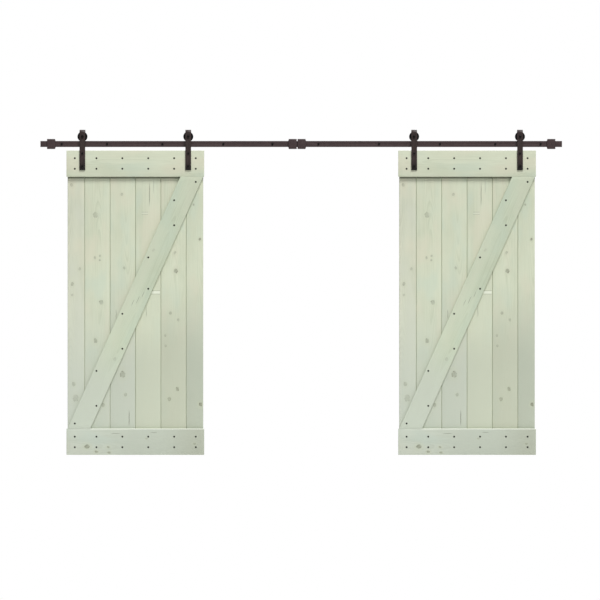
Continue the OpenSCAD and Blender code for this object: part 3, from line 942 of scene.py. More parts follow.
def skin(name: str, rings: list[list[Vector]], places: list[list[Vector]]) -> bpy.types.Object:
    """Joins rings of points into one closed skin with flat ends.

    Args:
        name: The object's name.
        rings: The rings, each with as many points.
        places: Each point's place on its own board, for the wood's figure.

    Returns:
        The new object, linked to the scene.
    """
    shell = bmesh.new()
    place_layer = shell.verts.layers.float_vector.new("place")
    end_layer = shell.faces.layers.float.new("cut_end")
    ring_points = [[shell.verts.new(p) for p in ring] for ring in rings]
    for points, there in zip(ring_points, places):
        for point, where in zip(points, there):
            point[place_layer] = where
    count = len(rings[0])
    for low, high in zip(ring_points, ring_points[1:]):
        for i in range(count):
            shell.faces.new((low[i - 1], low[i], high[i], high[i - 1]))
    caps = [shell.faces.new(ring_points[0][::-1]), shell.faces.new(ring_points[-1])]
    for cap in caps:
        cap[end_layer] = 1.0
    bmesh.ops.recalc_face_normals(shell, faces=shell.faces)
    return finish_mesh(name, shell)


def finish_mesh(name: str, shell: bmesh.types.BMesh) -> bpy.types.Object:
    """Turns a working mesh into a smooth-shaded object with crisp edges.

    Args:
        name: The object's name.
        shell: The working mesh, which is freed.

    Returns:
        The new object, linked to the scene.
    """
    mesh = bpy.data.meshes.new(name)
    shell.to_mesh(mesh)
    shell.free()
    mesh.shade_smooth()
    mesh.set_sharp_from_angle(angle=SMOOTH_ANGLE)
    made = bpy.data.objects.new(name, mesh)
    bpy.context.scene.collection.objects.link(made)
    return made


def dress(piece: bpy.types.Object, material: bpy.types.Material, body: str, slot: Slot,
          nodes: Iterable[str]) -> None:
    """Gives a piece its material, its body, its slot and the nodes that it stands for.

    Args:
        piece: The finished piece.
        material: Its material.
        body: The body that it rides on.
        slot: The record's material slot; not used.
        nodes: The nodes that it replaces.
    """
    if not piece.data.materials:
        piece.data.materials.append(material)
    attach(piece, body)
    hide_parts(*nodes)
    LOG.info("%s: %d faces on %s", piece.name, len(piece.data.polygons), body)


def wobble(place: float, row: float, amount: float) -> float:
    """Finds a smooth, fixed unevenness along a board.

    Args:
        place: Where along the board.
        row: A number that differs from edge to edge.
        amount: About the greatest unevenness.

    Returns:
        The unevenness there.
    """
    return amount * noise.noise(Vector((place * WOBBLE_RATE, row * WOBBLE_ROW, 0.7)))


# Doors


EDGE_ROWS = {"top_board": 31.0, "bottom_board": 47.0, "brace": 61.0}


@dataclass
class Board:
    """A board as a swept outline: across, through its thickness, and along its grain."""

    name: str
    spacing: float = 30 * MM
    ease: float = 0.9 * MM

    def build(self, outline_at: Callable[[float], Outline], ends: Callable[[float], Span],
              to_world: Callable[[float, float, float], Vector],
              to_place: Callable[[float, float, float], Vector]) -> bpy.types.Object:
        """Sweeps the board.

        Args:
            outline_at: The outline at a share of the length, as across and depth.
            ends: Where the board starts and stops along its grain, by its place across.
            to_world: Turns across, depth and along into a point.
            to_place: Turns the same three into the place that the figure follows.

        Returns:
            The board's object.
        """
        low, high = ends(0.0)
        rings, places = [], []
        for along, drawn in eased_stations(low, high, self.spacing, self.ease):
            share = (along - low) / (high - low)
            outline = shrunk(outline_at(share), drawn)
            ring, there = [], []
            for across, depth in outline:
                first, last = ends(across)
                at = first + (last - first) * share
                ring.append(to_world(across, depth, at))
                there.append(to_place(across, depth, at))
            rings.append(ring)
            places.append(there)
        return skin(self.name, rings, places)


@dataclass
class Door:
    """One plank door with its top, bottom and slanting boards."""

    side: Side
    materials: dict[str, bpy.types.Material]
    planks: int = 6
    seam_bevel: float = 3.5 * MM
    board_bevel: float = 2.2 * MM
    tongue_length: float = 6 * MM
    tongue_thickness: float = 6 * MM
    groove_clearance: float = 0.4 * MM
    brace_width: float = 146 * MM
    unevenness: float = 0.5 * MM
    board_unevenness: float = 0.3 * MM
    fine_edge: float = 0.4 * MM
    soft_edge: float = 1.3 * MM
    back_edge: float = 0.6 * MM
    end_ease: float = 1.6 * MM

    def __post_init__(self) -> None:
        """Reads the door's middle line and bottom edge from its bottom board."""
        low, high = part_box(self.node("bottom_board"))
        self.middle = (low.x + high.x) / 2
        self.bottom = low.z
        self.body = f"{self.side.value}_door"

    def node(self, part: str) -> str:
        """The name of one of this door's nodes."""
        return f"{self.side.value}_{part}"

    def build(self) -> None:
        """Builds and dresses all of the door's boards."""
        for number in range(1, self.planks + 1):
            self.plank(number)
        self.cross_board("top_board")
        self.cross_board("bottom_board")
        self.brace()

    def finish(self, piece: bpy.types.Object, part: str, slot: Slot) -> None:
        """Dresses one board as the node that it replaces.

        Args:
            piece: The board.
            part: The board's part of its node's name.
            slot: The record's material slot.
        """
        dress(piece, self.materials[part], self.body, slot, [self.node(part)])

    def plank_outline(self, low: Vector, high: Vector, number: int, share: float) -> Outline:
        """Draws a plank's outline, with its groove on the left and its tongue on the right.

        Args:
            low: The plank's lowest corner.
            high: Its highest corner.
            number: Its number from the left.
            share: Where along its length.

        Returns:
            The outline's points, across and through the door.
        """
        first, last = number == 1, number == self.planks
        left = low.x - self.middle
        right = high.x - self.middle - (0 if last else self.tongue_length)
        thick = high.y - low.y
        along = share * (high.z - low.z)
        cut_left = self.board_bevel if first else self.seam_bevel
        cut_right = self.board_bevel if last else self.seam_bevel
        cut_left += wobble(along, number, self.unevenness)
        cut_right += wobble(along, number + 0.5, self.unevenness)
        middle = thick / 2
        half = self.tongue_thickness / 2
        slack = half + self.groove_clearance
        fine, soft = self.fine_edge, self.soft_edge
        corners = [(left + cut_left, 0.0, soft), (right - cut_right, 0.0, soft),
                   (right, cut_right, 2 * fine)]
        if not last:
            tip = right + self.tongue_length
            corners += [(right, middle - half, fine), (tip, middle - half, 2 * fine),
                        (tip, middle + half, 2 * fine), (right, middle + half, fine)]
        corners += [(right, thick, 2 * fine), (left, thick, 2 * fine)]
        if not first:
            floor = left + self.tongue_length
            corners += [(left, middle + slack, fine), (floor, middle + slack, fine),
                        (floor, middle - slack, fine), (left, middle - slack, fine)]
        corners.append((left, cut_left, 2 * fine))
        return rounded(corners)

    def plank(self, number: int) -> None:
        """Builds one upright plank.

        Args:
            number: Its number from the left.
        """
        part = f"plank_{number}"
        low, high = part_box(self.node(part))
        board = Board(self.node(part) + "_pine")
        piece = board.build(
            lambda share: self.plank_outline(low, high, number, share),
            lambda across: (low.z, high.z),
            lambda across, depth, along: Vector((self.middle + across, low.y + depth, along)),
            lambda across, depth, along: Vector((across, depth, along - self.bottom)),
        )
        self.finish(piece, part, Slot.PLANKS)

    def sawn_outline(self, first: float, second: float, thick: float, along: float, row: float) -> Outline:
        """Draws the outline of a plain board, with its two front edges bevelled.

        Args:
            first: Its first edge, across the grain.
            second: Its second edge.
            thick: Its thickness.
            along: Where along its length.
            row: The row of the first edge's unevenness. The second edge has the next.

        Returns:
            The outline's points, across and through the door.
        """
        cuts = [self.board_bevel + wobble(along, row + k, self.board_unevenness) for k in range(2)]
        return rounded([(first, 0.0, cuts[0]), (second, 0.0, cuts[1]),
                        (second, thick, self.back_edge), (first, thick, self.back_edge)], 4)

    def cross_board(self, part: str) -> None:
        """Builds the top or bottom board, whose grain runs level.

        Args:
            part: The board's part of its node's name.
        """
        low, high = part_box(self.node(part))
        thick = high.y - low.y
        row = EDGE_ROWS[part]
        board = Board(self.node(part) + "_pine", ease=self.end_ease)
        piece = board.build(
            lambda share: self.sawn_outline(high.z, low.z, thick, share * (high.x - low.x), row),
            lambda across: (low.x, high.x),
            lambda across, depth, along: Vector((along, low.y + depth, across)),
            lambda across, depth, along: Vector((across - self.bottom, depth, along - self.middle)),
        )
        self.finish(piece, part, Slot.BOARDS)

    def brace_frame(self) -> tuple[Vector, float, float]:
        """Finds how the brace lies.

        Returns:
            Its middle on the front of the planks, and its lean's cosine and sine.
        """
        low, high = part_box(self.node("brace"))
        width, run = high.x - low.x, high.z - low.z
        lean = math.acos(self.brace_width / math.hypot(width, run)) - math.atan2(run, width)
        centre = Vector(((low.x + high.x) / 2, low.y, (low.z + high.z) / 2))
        return centre, math.cos(lean), math.sin(lean)

    def settings(self) -> dict[str, BoardSetting]:
        """Finds where screws and other boards meet each board.

        Returns:
            Each board's setting by its part's name.
        """
        top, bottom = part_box(self.node("top_board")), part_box(self.node("bottom_board"))
        centre, cosine, sine = self.brace_frame()
        heads: dict[str, list[Vector]] = {"top_board": [], "bottom_board": [], "brace": []}
        radius = 0.0
        for low, high in islands(self.node("board_screws")):
            x, z = (low.x + high.x) / 2, (low.z + high.z) / 2
            radius = (high.x - low.x) / 2
            if z > top[0].z or z < bottom[1].z:
                part = "top_board" if z > top[0].z else "bottom_board"
                heads[part].append(Vector((z - self.bottom, 0.0, x - self.middle)))
            else:
                dx, dz = x - centre.x, z - centre.z
                heads["brace"].append(Vector((dx * cosine - dz * sine, 0.0, dx * sine + dz * cosine)))
        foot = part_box(self.node("brace"))[0].x - self.middle + self.brace_width / cosine
        found = {part: BoardSetting(tuple(spots), radius) for part, spots in heads.items()}
        # The bottom board gets a painted highlight along its upper edge, from the brace's foot on.
        found["bottom_board"] = BoardSetting(tuple(heads["bottom_board"]), radius,
                                             highlight_edge=(bottom[1].z - self.bottom, foot))
        for number in range(1, self.planks + 1):
            found[f"plank_{number}"] = BoardSetting(corner=top[0].z - self.bottom)
        return found

    def brace(self) -> None:
        """Builds the slanting board, cut level at both ends."""
        low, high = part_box(self.node("brace"))
        run = high.z - low.z
        centre, cosine, sine = self.brace_frame()
        half, thick = self.brace_width / 2, high.y - low.y
        row = EDGE_ROWS["brace"]

        def ends(across: float) -> Span:
            """Finds where the level cuts cross a line along the grain."""
            return ((-run / 2 + across * sine) / cosine, (run / 2 + across * sine) / cosine)

        def to_world(across: float, depth: float, along: float) -> Vector:
            """Leans a place on the brace."""
            return centre + Vector((across * cosine + along * sine, depth,
                                    along * cosine - across * sine))

        board = Board(self.node("brace") + "_pine")
        piece = board.build(
            lambda share: self.sawn_outline(-half, half, thick, share * run, row),
            ends, to_world,
            lambda across, depth, along: Vector((across, depth, along)),
        )
        self.finish(piece, "brace", Slot.BOARDS)


# Painted shade: the colours that the planks fade to towards the door's foot.
FOOT_SHADE_GREY = tint(187, 194, 182)
FOOT_SHADE_COOL = tint(182, 189, 176)
FOOT_SHADE = tint(180, 185, 166)
FOOT_SHADE_DEEP = tint(174, 181, 165)

WOODS = {
    "plank_1": StainedPine("sage_pine_plank_1", 1.3, -470.0, tone=0.03, knots=(
        Knot(-447, 1894, 9, 0.4), Knot(-391, 1304, 8, 0.35), Knot(-443, 1199, 9, 0.4),
        Knot(-443, 1121, 7, 0.35), Knot(-433, 497, 11, 0.4), Knot(-420, 398, 18, 0.3),
    ), fades=(Fade(1250, 300, FOOT_SHADE_GREY, 0.8),), cool=tint(203, 207, 190),
        light=tint(212, 216, 196), middle=tint(204, 208, 188), deep=tint(187, 192, 171)),
    "plank_2": StainedPine("sage_pine_plank_2", 4.1, -262.0, tone=0.0, knots=(
        Knot(-281, 1683, 15, 0.32), Knot(-284, 1381, 7, 0.4), Knot(-250, 1367, 6, 0.4),
        Knot(-248, 1395, 6, 0.4), Knot(-240, 1069, 13, 0.42), Knot(-280, 800, 12, 0.55),
        Knot(-226, 349, 10, 0.45),
    ), fades=(Fade(1250, 300, FOOT_SHADE_COOL, 0.8),)),
    "plank_3": StainedPine("sage_pine_plank_3", 7.9, -60.0, tone=0.02, knots=(
        Knot(-96, 1827, 8, 0.35), Knot(-78, 1311, 8, 0.4), Knot(-90, 564, 17, 0.5),
        Knot(-70, 423, 9, 0.4),
    ), streaks=(Streak(-135, 985, 1.9, 42, 0.68), Streak(-44, 258, 2.9, 66, 0.83)),
        fades=(Fade(1450, 450, FOOT_SHADE_COOL, 0.85),)),
    "plank_4": StainedPine("sage_pine_plank_4", 11.2, 120.0, tone=0.03, streaks=(
        Streak(99, 1827, 2.9, 96, 0.75), Streak(76, 1009, 2.2, 52, 0.68),
        Streak(128, 1880, 1.9, 60, 0.45),
    ), patches=(Patch(143, 1139.5, 31, 10, 0.6), Patch(66, 1695, 24, 5, 0.3)),
        fades=(Fade(1450, 1150, tint(200, 206, 184), 0.6), Fade(1000, 600, tint(188, 194, 175), 0.85))),
    "plank_5": StainedPine("sage_pine_plank_5", 15.6, 262.0, tone=0.0, knots=(
        Knot(277, 1418, 8, 0.42), Knot(284, 1290, 12, 0.62), Knot(245, 995, 9, 0.45),
        Knot(301, 946, 8, 0.35), Knot(209, 838, 7, 0.4), Knot(213, 766, 7, 0.35),
        Knot(295, 462, 11, 0.65), Knot(238, 391, 11, 0.5),
    ), fades=(Fade(1250, 700, FOOT_SHADE, 0.8),)),
    "plank_6": StainedPine("sage_pine_plank_6", 19.4, 480.0, tone=-0.02, knots=(
        Knot(409, 1755, 5, 0.5), Knot(452, 1512, 7, 0.85), Knot(456, 354, 10, 0.95),
    ), fades=(Fade(1350, 600, FOOT_SHADE_DEEP, 0.9),)),
    "top_board": StainedPine("sage_pine_top_board", 23.7, 2060.0, tone=0.04),
    "bottom_board": StainedPine("sage_pine_bottom_board", 27.5, 70.0, tone=-0.02, knots=(
        Knot(58, -338, 13, 0.75), Knot(23, -273, 8, 0.75), Knot(54, -190, 7, 0.65),
        Knot(16, -183, 7, 0.65), Knot(114, 78, 6, 0.45), Knot(79, 413, 7, 0.45),
    ), streaks=(Streak(150, -138, 2.4, 40, 0.6), Streak(158, 129, 2.4, 30, 0.6)),
        fades=(Fade(-280, 20, tint(179, 186, 172), 0.9), Fade(150, 470, tint(170, 175, 159), 0.9)),
        light=tint(194, 200, 187), middle=tint(186, 193, 179), deep=tint(170, 177, 162),
        warm=tint(188, 191, 175), cool=tint(180, 191, 179)),
    "brace": StainedPine("sage_pine_brace", 33.1, 20.0, tone=-0.01, knots=(
        Knot(-34, 390, 8, 0.2), Knot(30, -420, 9, 0.2),
    ), streaks=(Streak(8, 24, 2.2, 36, 0.6), Streak(26, 75, 2.2, 26, 0.52),
                Streak(-16, -6, 2.2, 30, 0.52)),
        fades=(Fade(-250, -700, tint(189, 196, 182), 0.85),),
        light=tint(202, 211, 189), middle=tint(194, 203, 180), deep=tint(177, 187, 162),
        warm=tint(199, 204, 182), cool=tint(188, 201, 181)),
}


# Fasteners


Spot = tuple[Vector, Vector]


def islands(node: str) -> list[Spot]:
    """Finds the boxes of a node's separate solids, from left to right and bottom to top.

    Args:
        node: The node's name.

    Returns:
        Each solid's lowest and highest corners.
    """
    shell = merged_copy(node)
    seen: set[int] = set()
    boxes: list[Spot] = []
    for start in shell.verts:
        if start.index in seen:
            continue
        seen.add(start.index)
        stack, group = [start], []
        while stack:
            point = stack.pop()
            group.append(point.co)
            for edge in point.link_edges:
                other = edge.other_vert(point)
                if other.index not in seen:
                    seen.add(other.index)
                    stack.append(other)
        boxes.append((Vector([min(p[i] for p in group) for i in range(3)]),
                      Vector([max(p[i] for p in group) for i in range(3)])))
    shell.free()
    return sorted(boxes, key=lambda box: (round(box[0].x, 4), round(box[0].z, 4), round(box[0].y, 4)))


def merged_copy(node: str) -> bmesh.types.BMesh:
    """Copies a node's mesh and merges its doubled points, leaving the node alone.

    Args:
        node: The node's name.

    Returns:
        The working mesh.
    """
    shell = bmesh.new()
    shell.from_mesh(NODES[node].data)
    bmesh.ops.remove_doubles(shell, verts=shell.verts, dist=COPY_MERGE)
    shell.verts.index_update()
    return shell


@dataclass(frozen=True)
class FastenerShape:
    """Proportions that every fastener of a kind has, as shares of its sizes or in metres."""

    hexagon_face: float = 0.475  # a turned face's radius, of the flats
    hexagon_slope: float = 1.8  # how much wider the turned corners get with depth
    hexagon_sides: int = 48
    bolt_sides: int = 40
    root_sides: int = 32
    wood_screw_sides: int = 20
    ring_sides: int = 64
    sunk: float = 0.9  # how deep in its head a shank starts, of the head
    thread: float = 0.3  # a thread's own radius, of the pitch
    thread_steps: int = 20
    thread_sides: int = 5
    root_overlap: float = 0.2 * MM
    bolt_point: float = 0.22
    tip_thread: float = 0.85
    tip_thread_end: float = 0.3
    nut_mouth: float = 1.14
    nut_mouth_end: float = 0.8
    nut_mouth_depth: float = 2 * MM
    dome_power: float = 2.4
    dome_shrink: float = 0.36
    dome_sag: float = 0.35 * MM
    recess_length: float = 1.1
    recess_width: float = 0.24
    recess_depth: float = 1.2
    screw_taper: float = 2.0
    screw_point: float = 0.25
    set_screw_chamfer: float = 0.5 * MM
    past_face: float = 1 * MM  # how far a cutting shape starts before a face


SHAPE = FastenerShape()


class FastenerTree(Graph):
    """A geometry tree that sets one kind of fastener on every spot of a point mesh.

    Each fastener is built along its own +Z, from the face that is seen first, and is then
    turned to face as wanted, with a fixed random spin.
    """

    def __init__(self, name: str, sizes: Sequence[str]) -> None:
        """Starts the tree.

        Args:
            name: The tree's name.
            sizes: The names of its size inputs.
        """
        super().__init__(bpy.data.node_groups.new(name, "GeometryNodeTree"))
        self.sockets("INPUT", spots="Geometry", **dict.fromkeys(sizes, "Float"), facing="Vector",
                     spin="Float", seed="Int", finish="Material")
        self.sockets("OUTPUT", geometry="Geometry")
        self.given = self.node("NodeGroupInput").outputs

    def moved(self, shape: Socket, up: Any, turn: Triple = (0.0, 0.0, 0.0)) -> Socket:
        """Moves a shape along its axis and turns it."""
        inputs = {"Geometry": shape, "Translation": self.vector(0.0, 0.0, up), "Rotation": turn}
        return self.node("GeometryNodeTransform", inputs).outputs[0]

    def bar(self, sides: int, radius: Any, low: Any, high: Any, turn: float = 0.0) -> Socket:
        """Adds a straight bar with flat ends.

        Args:
            sides: How many sides it has.
            radius: Its radius over the corners.
            low: Where it starts on the axis.
            high: Where it stops.
            turn: Its turn about the axis.

        Returns:
            The bar.
        """
        depth = self.minus(high, low)
        inputs = {"Vertices": sides, "Radius": radius, "Depth": depth}
        made = self.node("GeometryNodeMeshCylinder", inputs).outputs[0]
        return self.moved(made, self.line(depth, 0.5, low), (0.0, 0.0, turn))

    def cone(self, sides: int, low_radius: Any, high_radius: Any, low: Any, high: Any) -> Socket:
        """Adds a cone.

        Args:
            sides: How many sides it has.
            low_radius: Its radius where it starts.
            high_radius: Its radius where it stops.
            low: Where it starts on the axis.
            high: Where it stops.

        Returns:
            The cone.
        """
        made = self.node("GeometryNodeMeshCone", {
            "Vertices": sides, "Radius Bottom": low_radius, "Radius Top": high_radius,
            "Depth": self.minus(high, low)}).outputs[0]
        return self.moved(made, low)

    def joined(self, *shapes: Socket) -> Socket:
        """Joins shapes without cutting them.

        Args:
            *shapes: The shapes.

        Returns:
            All of them as one.
        """
        made = self.node("GeometryNodeJoinGeometry")
        for shape in shapes:
            self.feed(made.inputs[0], shape)
        return made.outputs[0]

    def common(self, *shapes: Socket) -> Socket:
        """Keeps what shapes have in common.

        Args:
            *shapes: The shapes.

        Returns:
            The space that all of them fill.
        """
        made = self.node("GeometryNodeMeshBoolean", operation="INTERSECT", solver="EXACT")
        for shape in shapes:
            self.feed(made.inputs["Mesh 2"], shape)
        return made.outputs[0]

    def cut(self, shape: Socket, *tools: Socket) -> Socket:
        """Cuts tools away from a shape.

        Args:
            shape: The shape.
            *tools: What is cut away.

        Returns:
            What is left of the shape.
        """
        made = self.node("GeometryNodeMeshBoolean", {"Mesh 1": shape}, operation="DIFFERENCE",
                         solver="EXACT")
        for tool in tools:
            self.feed(made.inputs["Mesh 2"], tool)
        return made.outputs[0]

    def hexagon(self, flats: Any, low: Any, high: Any, both: bool) -> Socket:
        """Adds a hexagon bar with turned corners.

        Args:
            flats: Its width over the flats.
            low: Where it starts on the axis.
            high: Where it stops.
            both: Whether the corners are turned down at both faces, not the first alone.

        Returns:
            The bar.
        """
        corner = self.over(flats, math.sqrt(3))
        small = self.times(flats, SHAPE.hexagon_face)
        large = self.line(self.minus(high, low), SHAPE.hexagon_slope, small)
        shapes = [self.bar(6, corner, low, high, math.radians(30)),
                  self.cone(SHAPE.hexagon_sides, small, large, low, high)]
        if both:
            shapes.append(self.cone(SHAPE.hexagon_sides, large, small, low, high))
        return self.common(*shapes)

    def thread(self, radius: Any, low: Any, length: Any, pitch: Any, last: Any = None) -> Socket:
        """Winds a thread's crest on the axis.

        Args:
            radius: The crest's radius from the axis.
            low: Where it starts on the axis.
            length: How far it runs.
            pitch: The distance of its turns.
            last: Its radius from the axis at its end, if another.

        Returns:
            The crest.
        """
        spiral = self.node("GeometryNodeCurveSpiral", {
            "Resolution": SHAPE.thread_steps, "Rotations": self.over(length, pitch),
            "Start Radius": radius, "End Radius": radius if last is None else last,
            "Height": length}).outputs[0]
        profile = self.node("GeometryNodeCurvePrimitiveCircle", {
            "Resolution": SHAPE.thread_sides, "Radius": self.times(pitch, SHAPE.thread)}).outputs[0]
        crest = self.node("GeometryNodeCurveToMesh", {"Curve": spiral, "Profile Curve": profile,
                                                      "Fill Caps": True}).outputs[0]
        return self.moved(crest, low)

    def finish(self, shape: Socket) -> bpy.types.NodeTree:
        """Sets the shape on every spot and gives it its finish.

        Args:
            shape: The finished fastener on its own axis.

        Returns:
            The tree.
        """
        given = self.given
        placed = self.node("GeometryNodeInstanceOnPoints", {
            "Points": given["Spots"], "Instance": shape, "Rotation": given["Facing"]})
        low = self.times(given["Spin"], -1.0)
        spin = self.node("FunctionNodeRandomValue", data_type="FLOAT")
        sockets = {item.identifier: item for item in spin.inputs}
        self.feed(sockets["Min_001"], low)
        self.feed(sockets["Max_001"], given["Spin"])
        self.feed(spin.inputs["Seed"], given["Seed"])
        amount = next(item for item in spin.outputs if item.identifier == "Value_001")
        turned = self.node("GeometryNodeRotateInstances", {
            "Instances": placed.outputs[0], "Rotation": self.vector(0.0, 0.0, amount),
            "Local Space": True})
        real = self.node("GeometryNodeRealizeInstances", {"Geometry": turned.outputs[0]})
        dressed = self.node("GeometryNodeSetMaterial", {"Geometry": real.outputs[0],
                                                        "Material": given["Finish"]})
        out = self.node("NodeGroupOutput")
        self.feed(out.inputs[0], dressed.outputs[0])
        return self.tree


def bolt_tree() -> bpy.types.NodeTree:
    """Builds a hexagon bolt or lag screw with a shank, a thread and a tip.

    Returns:
        The tree.
    """
    tree = FastenerTree("hexagon_bolt", ("Flats", "Head", "Shank Radius", "Length", "Thread",
                                         "Root Radius", "Pitch", "Tip"))
    given = tree.given
    shank_radius, root_radius, pitch = given["Shank Radius"], given["Root Radius"], given["Pitch"]
    head = tree.hexagon(given["Flats"], 0.0, given["Head"], both=False)
    end = given["Length"]
    taper = tree.minus(end, given["Tip"])
    begin = tree.minus(taper, given["Thread"])
    shank = tree.bar(SHAPE.bolt_sides, shank_radius, tree.times(given["Head"], SHAPE.sunk), begin)
    root = tree.bar(SHAPE.root_sides, root_radius, tree.minus(begin, SHAPE.root_overlap), taper)
    point = tree.cone(SHAPE.root_sides, root_radius, tree.times(root_radius, SHAPE.bolt_point),
                      taper, end)
    ride = tree.minus(shank_radius, tree.times(pitch, SHAPE.thread))
    crest = tree.thread(ride, begin, given["Thread"], pitch)
    tip_crest = tree.thread(ride, taper, tree.times(given["Tip"], SHAPE.tip_thread), pitch,
                            tree.times(root_radius, SHAPE.tip_thread_end))
    return tree.finish(tree.joined(head, shank, root, point, crest, tip_crest))


def nut_tree() -> bpy.types.NodeTree:
    """Builds a hexagon nut, turned down at both faces, with its bore.

    Returns:
        The tree.
    """
    tree = FastenerTree("hexagon_nut", ("Flats", "Height", "Bore Radius"))
    given = tree.given
    bore_radius = given["Bore Radius"]
    body = tree.hexagon(given["Flats"], 0.0, given["Height"], both=True)
    past = tree.plus(given["Height"], SHAPE.past_face)
    bore = tree.bar(SHAPE.root_sides, bore_radius, -SHAPE.past_face, past)
    mouth = tree.cone(SHAPE.root_sides, tree.times(bore_radius, SHAPE.nut_mouth),
                      tree.times(bore_radius, SHAPE.nut_mouth_end), 0.0, SHAPE.nut_mouth_depth)
    return tree.finish(tree.cut(body, bore, mouth))


def ring_tree() -> bpy.types.NodeTree:
    """Builds a round ring with rounded edges: a washer, a spacer or a bush.

    Returns:
        The tree.
    """
    tree = FastenerTree("ring", ("Outer Radius", "Bore Radius", "Height", "Edge"))
    given = tree.given
    wall = tree.minus(given["Outer Radius"], given["Bore Radius"])
    path = tree.node("GeometryNodeCurvePrimitiveCircle", {
        "Resolution": SHAPE.ring_sides, "Radius": tree.line(wall, 0.5, given["Bore Radius"])})
    profile = tree.node("GeometryNodeCurvePrimitiveQuadrilateral", {"Width": wall,
                                                                    "Height": given["Height"]})
    rounding = tree.node("GeometryNodeFilletCurve", {"Curve": profile.outputs[0], "Count": 2,
                                                     "Radius": given["Edge"]}, mode="POLY")
    ring = tree.node("GeometryNodeCurveToMesh", {"Curve": path.outputs[0],
                                                 "Profile Curve": rounding.outputs[0]}).outputs[0]
    return tree.finish(tree.moved(ring, tree.times(given["Height"], 0.5)))


def board_screw_tree() -> bpy.types.NodeTree:
    """Builds a wood screw with a low domed head and a cross recess.

    Returns:
        The tree.
    """
    tree = FastenerTree("board_screw", ("Head Radius", "Head", "Shank Radius", "Length"))
    given = tree.given
    radius, tall, shank_radius = given["Head Radius"], given["Head"], given["Shank Radius"]
    blank = tree.node("GeometryNodeMeshCylinder", {"Vertices": 32, "Side Segments": 5,
                                                   "Fill Segments": 3, "Radius": radius, "Depth": tall},
                      fill_type="TRIANGLE_FAN").outputs[0]
    blank = tree.moved(blank, tree.times(tall, 0.5))
    x, y, z = tree.parts(tree.node("GeometryNodeInputPosition").outputs[0])
    share = tree.minus(1.0, tree.over(z, tall), clamp=True)
    drawn = tree.times(tree.math("POWER", share, SHAPE.dome_power), SHAPE.dome_shrink)
    shrink = tree.minus(1.0, drawn)
    squared = tree.plus(tree.times(x, x), tree.times(y, y))
    spread = tree.over(tree.math("SQRT", squared), radius)
    sag = tree.times(spread, spread, share, SHAPE.dome_sag)
    place = tree.vector(tree.times(x, shrink), tree.times(y, shrink), tree.plus(z, sag))
    dome = tree.node("GeometryNodeSetPosition", {"Geometry": blank, "Position": place}).outputs[0]
    arm, blade = tree.times(radius, SHAPE.recess_length), tree.times(radius, SHAPE.recess_width)
    deep = tree.times(tall, SHAPE.recess_depth)
    blades = []
    for wide, high in ((arm, blade), (blade, arm)):
        size = tree.vector(wide, high, deep)
        blades.append(tree.node("GeometryNodeMeshCube", {"Size": size}).outputs[0])
    head = tree.cut(dome, *blades)
    end = given["Length"]
    taper = tree.minus(end, tree.times(shank_radius, SHAPE.screw_taper))
    shank = tree.bar(SHAPE.wood_screw_sides, shank_radius, tree.times(tall, SHAPE.sunk), taper)
    point = tree.cone(SHAPE.wood_screw_sides, shank_radius, tree.times(shank_radius, SHAPE.screw_point),
                      taper, end)
    return tree.finish(tree.joined(head, shank, point))


def set_screw_tree() -> bpy.types.NodeTree:
    """Builds a headless screw with a hexagon socket in its first face.

    Returns:
        The tree.
    """
    tree = FastenerTree("set_screw", ("Radius", "Length", "Socket Flats", "Socket Depth"))
    given = tree.given
    radius, length = given["Radius"], given["Length"]
    face = tree.minus(radius, SHAPE.set_screw_chamfer)
    body = tree.common(tree.bar(SHAPE.root_sides, radius, 0.0, length),
                       tree.cone(SHAPE.root_sides, face, tree.plus(face, length), 0.0, length))
    socket = tree.bar(6, tree.over(given["Socket Flats"], math.sqrt(3)), -SHAPE.past_face,
                      given["Socket Depth"])
    return tree.finish(tree.cut(body, socket))


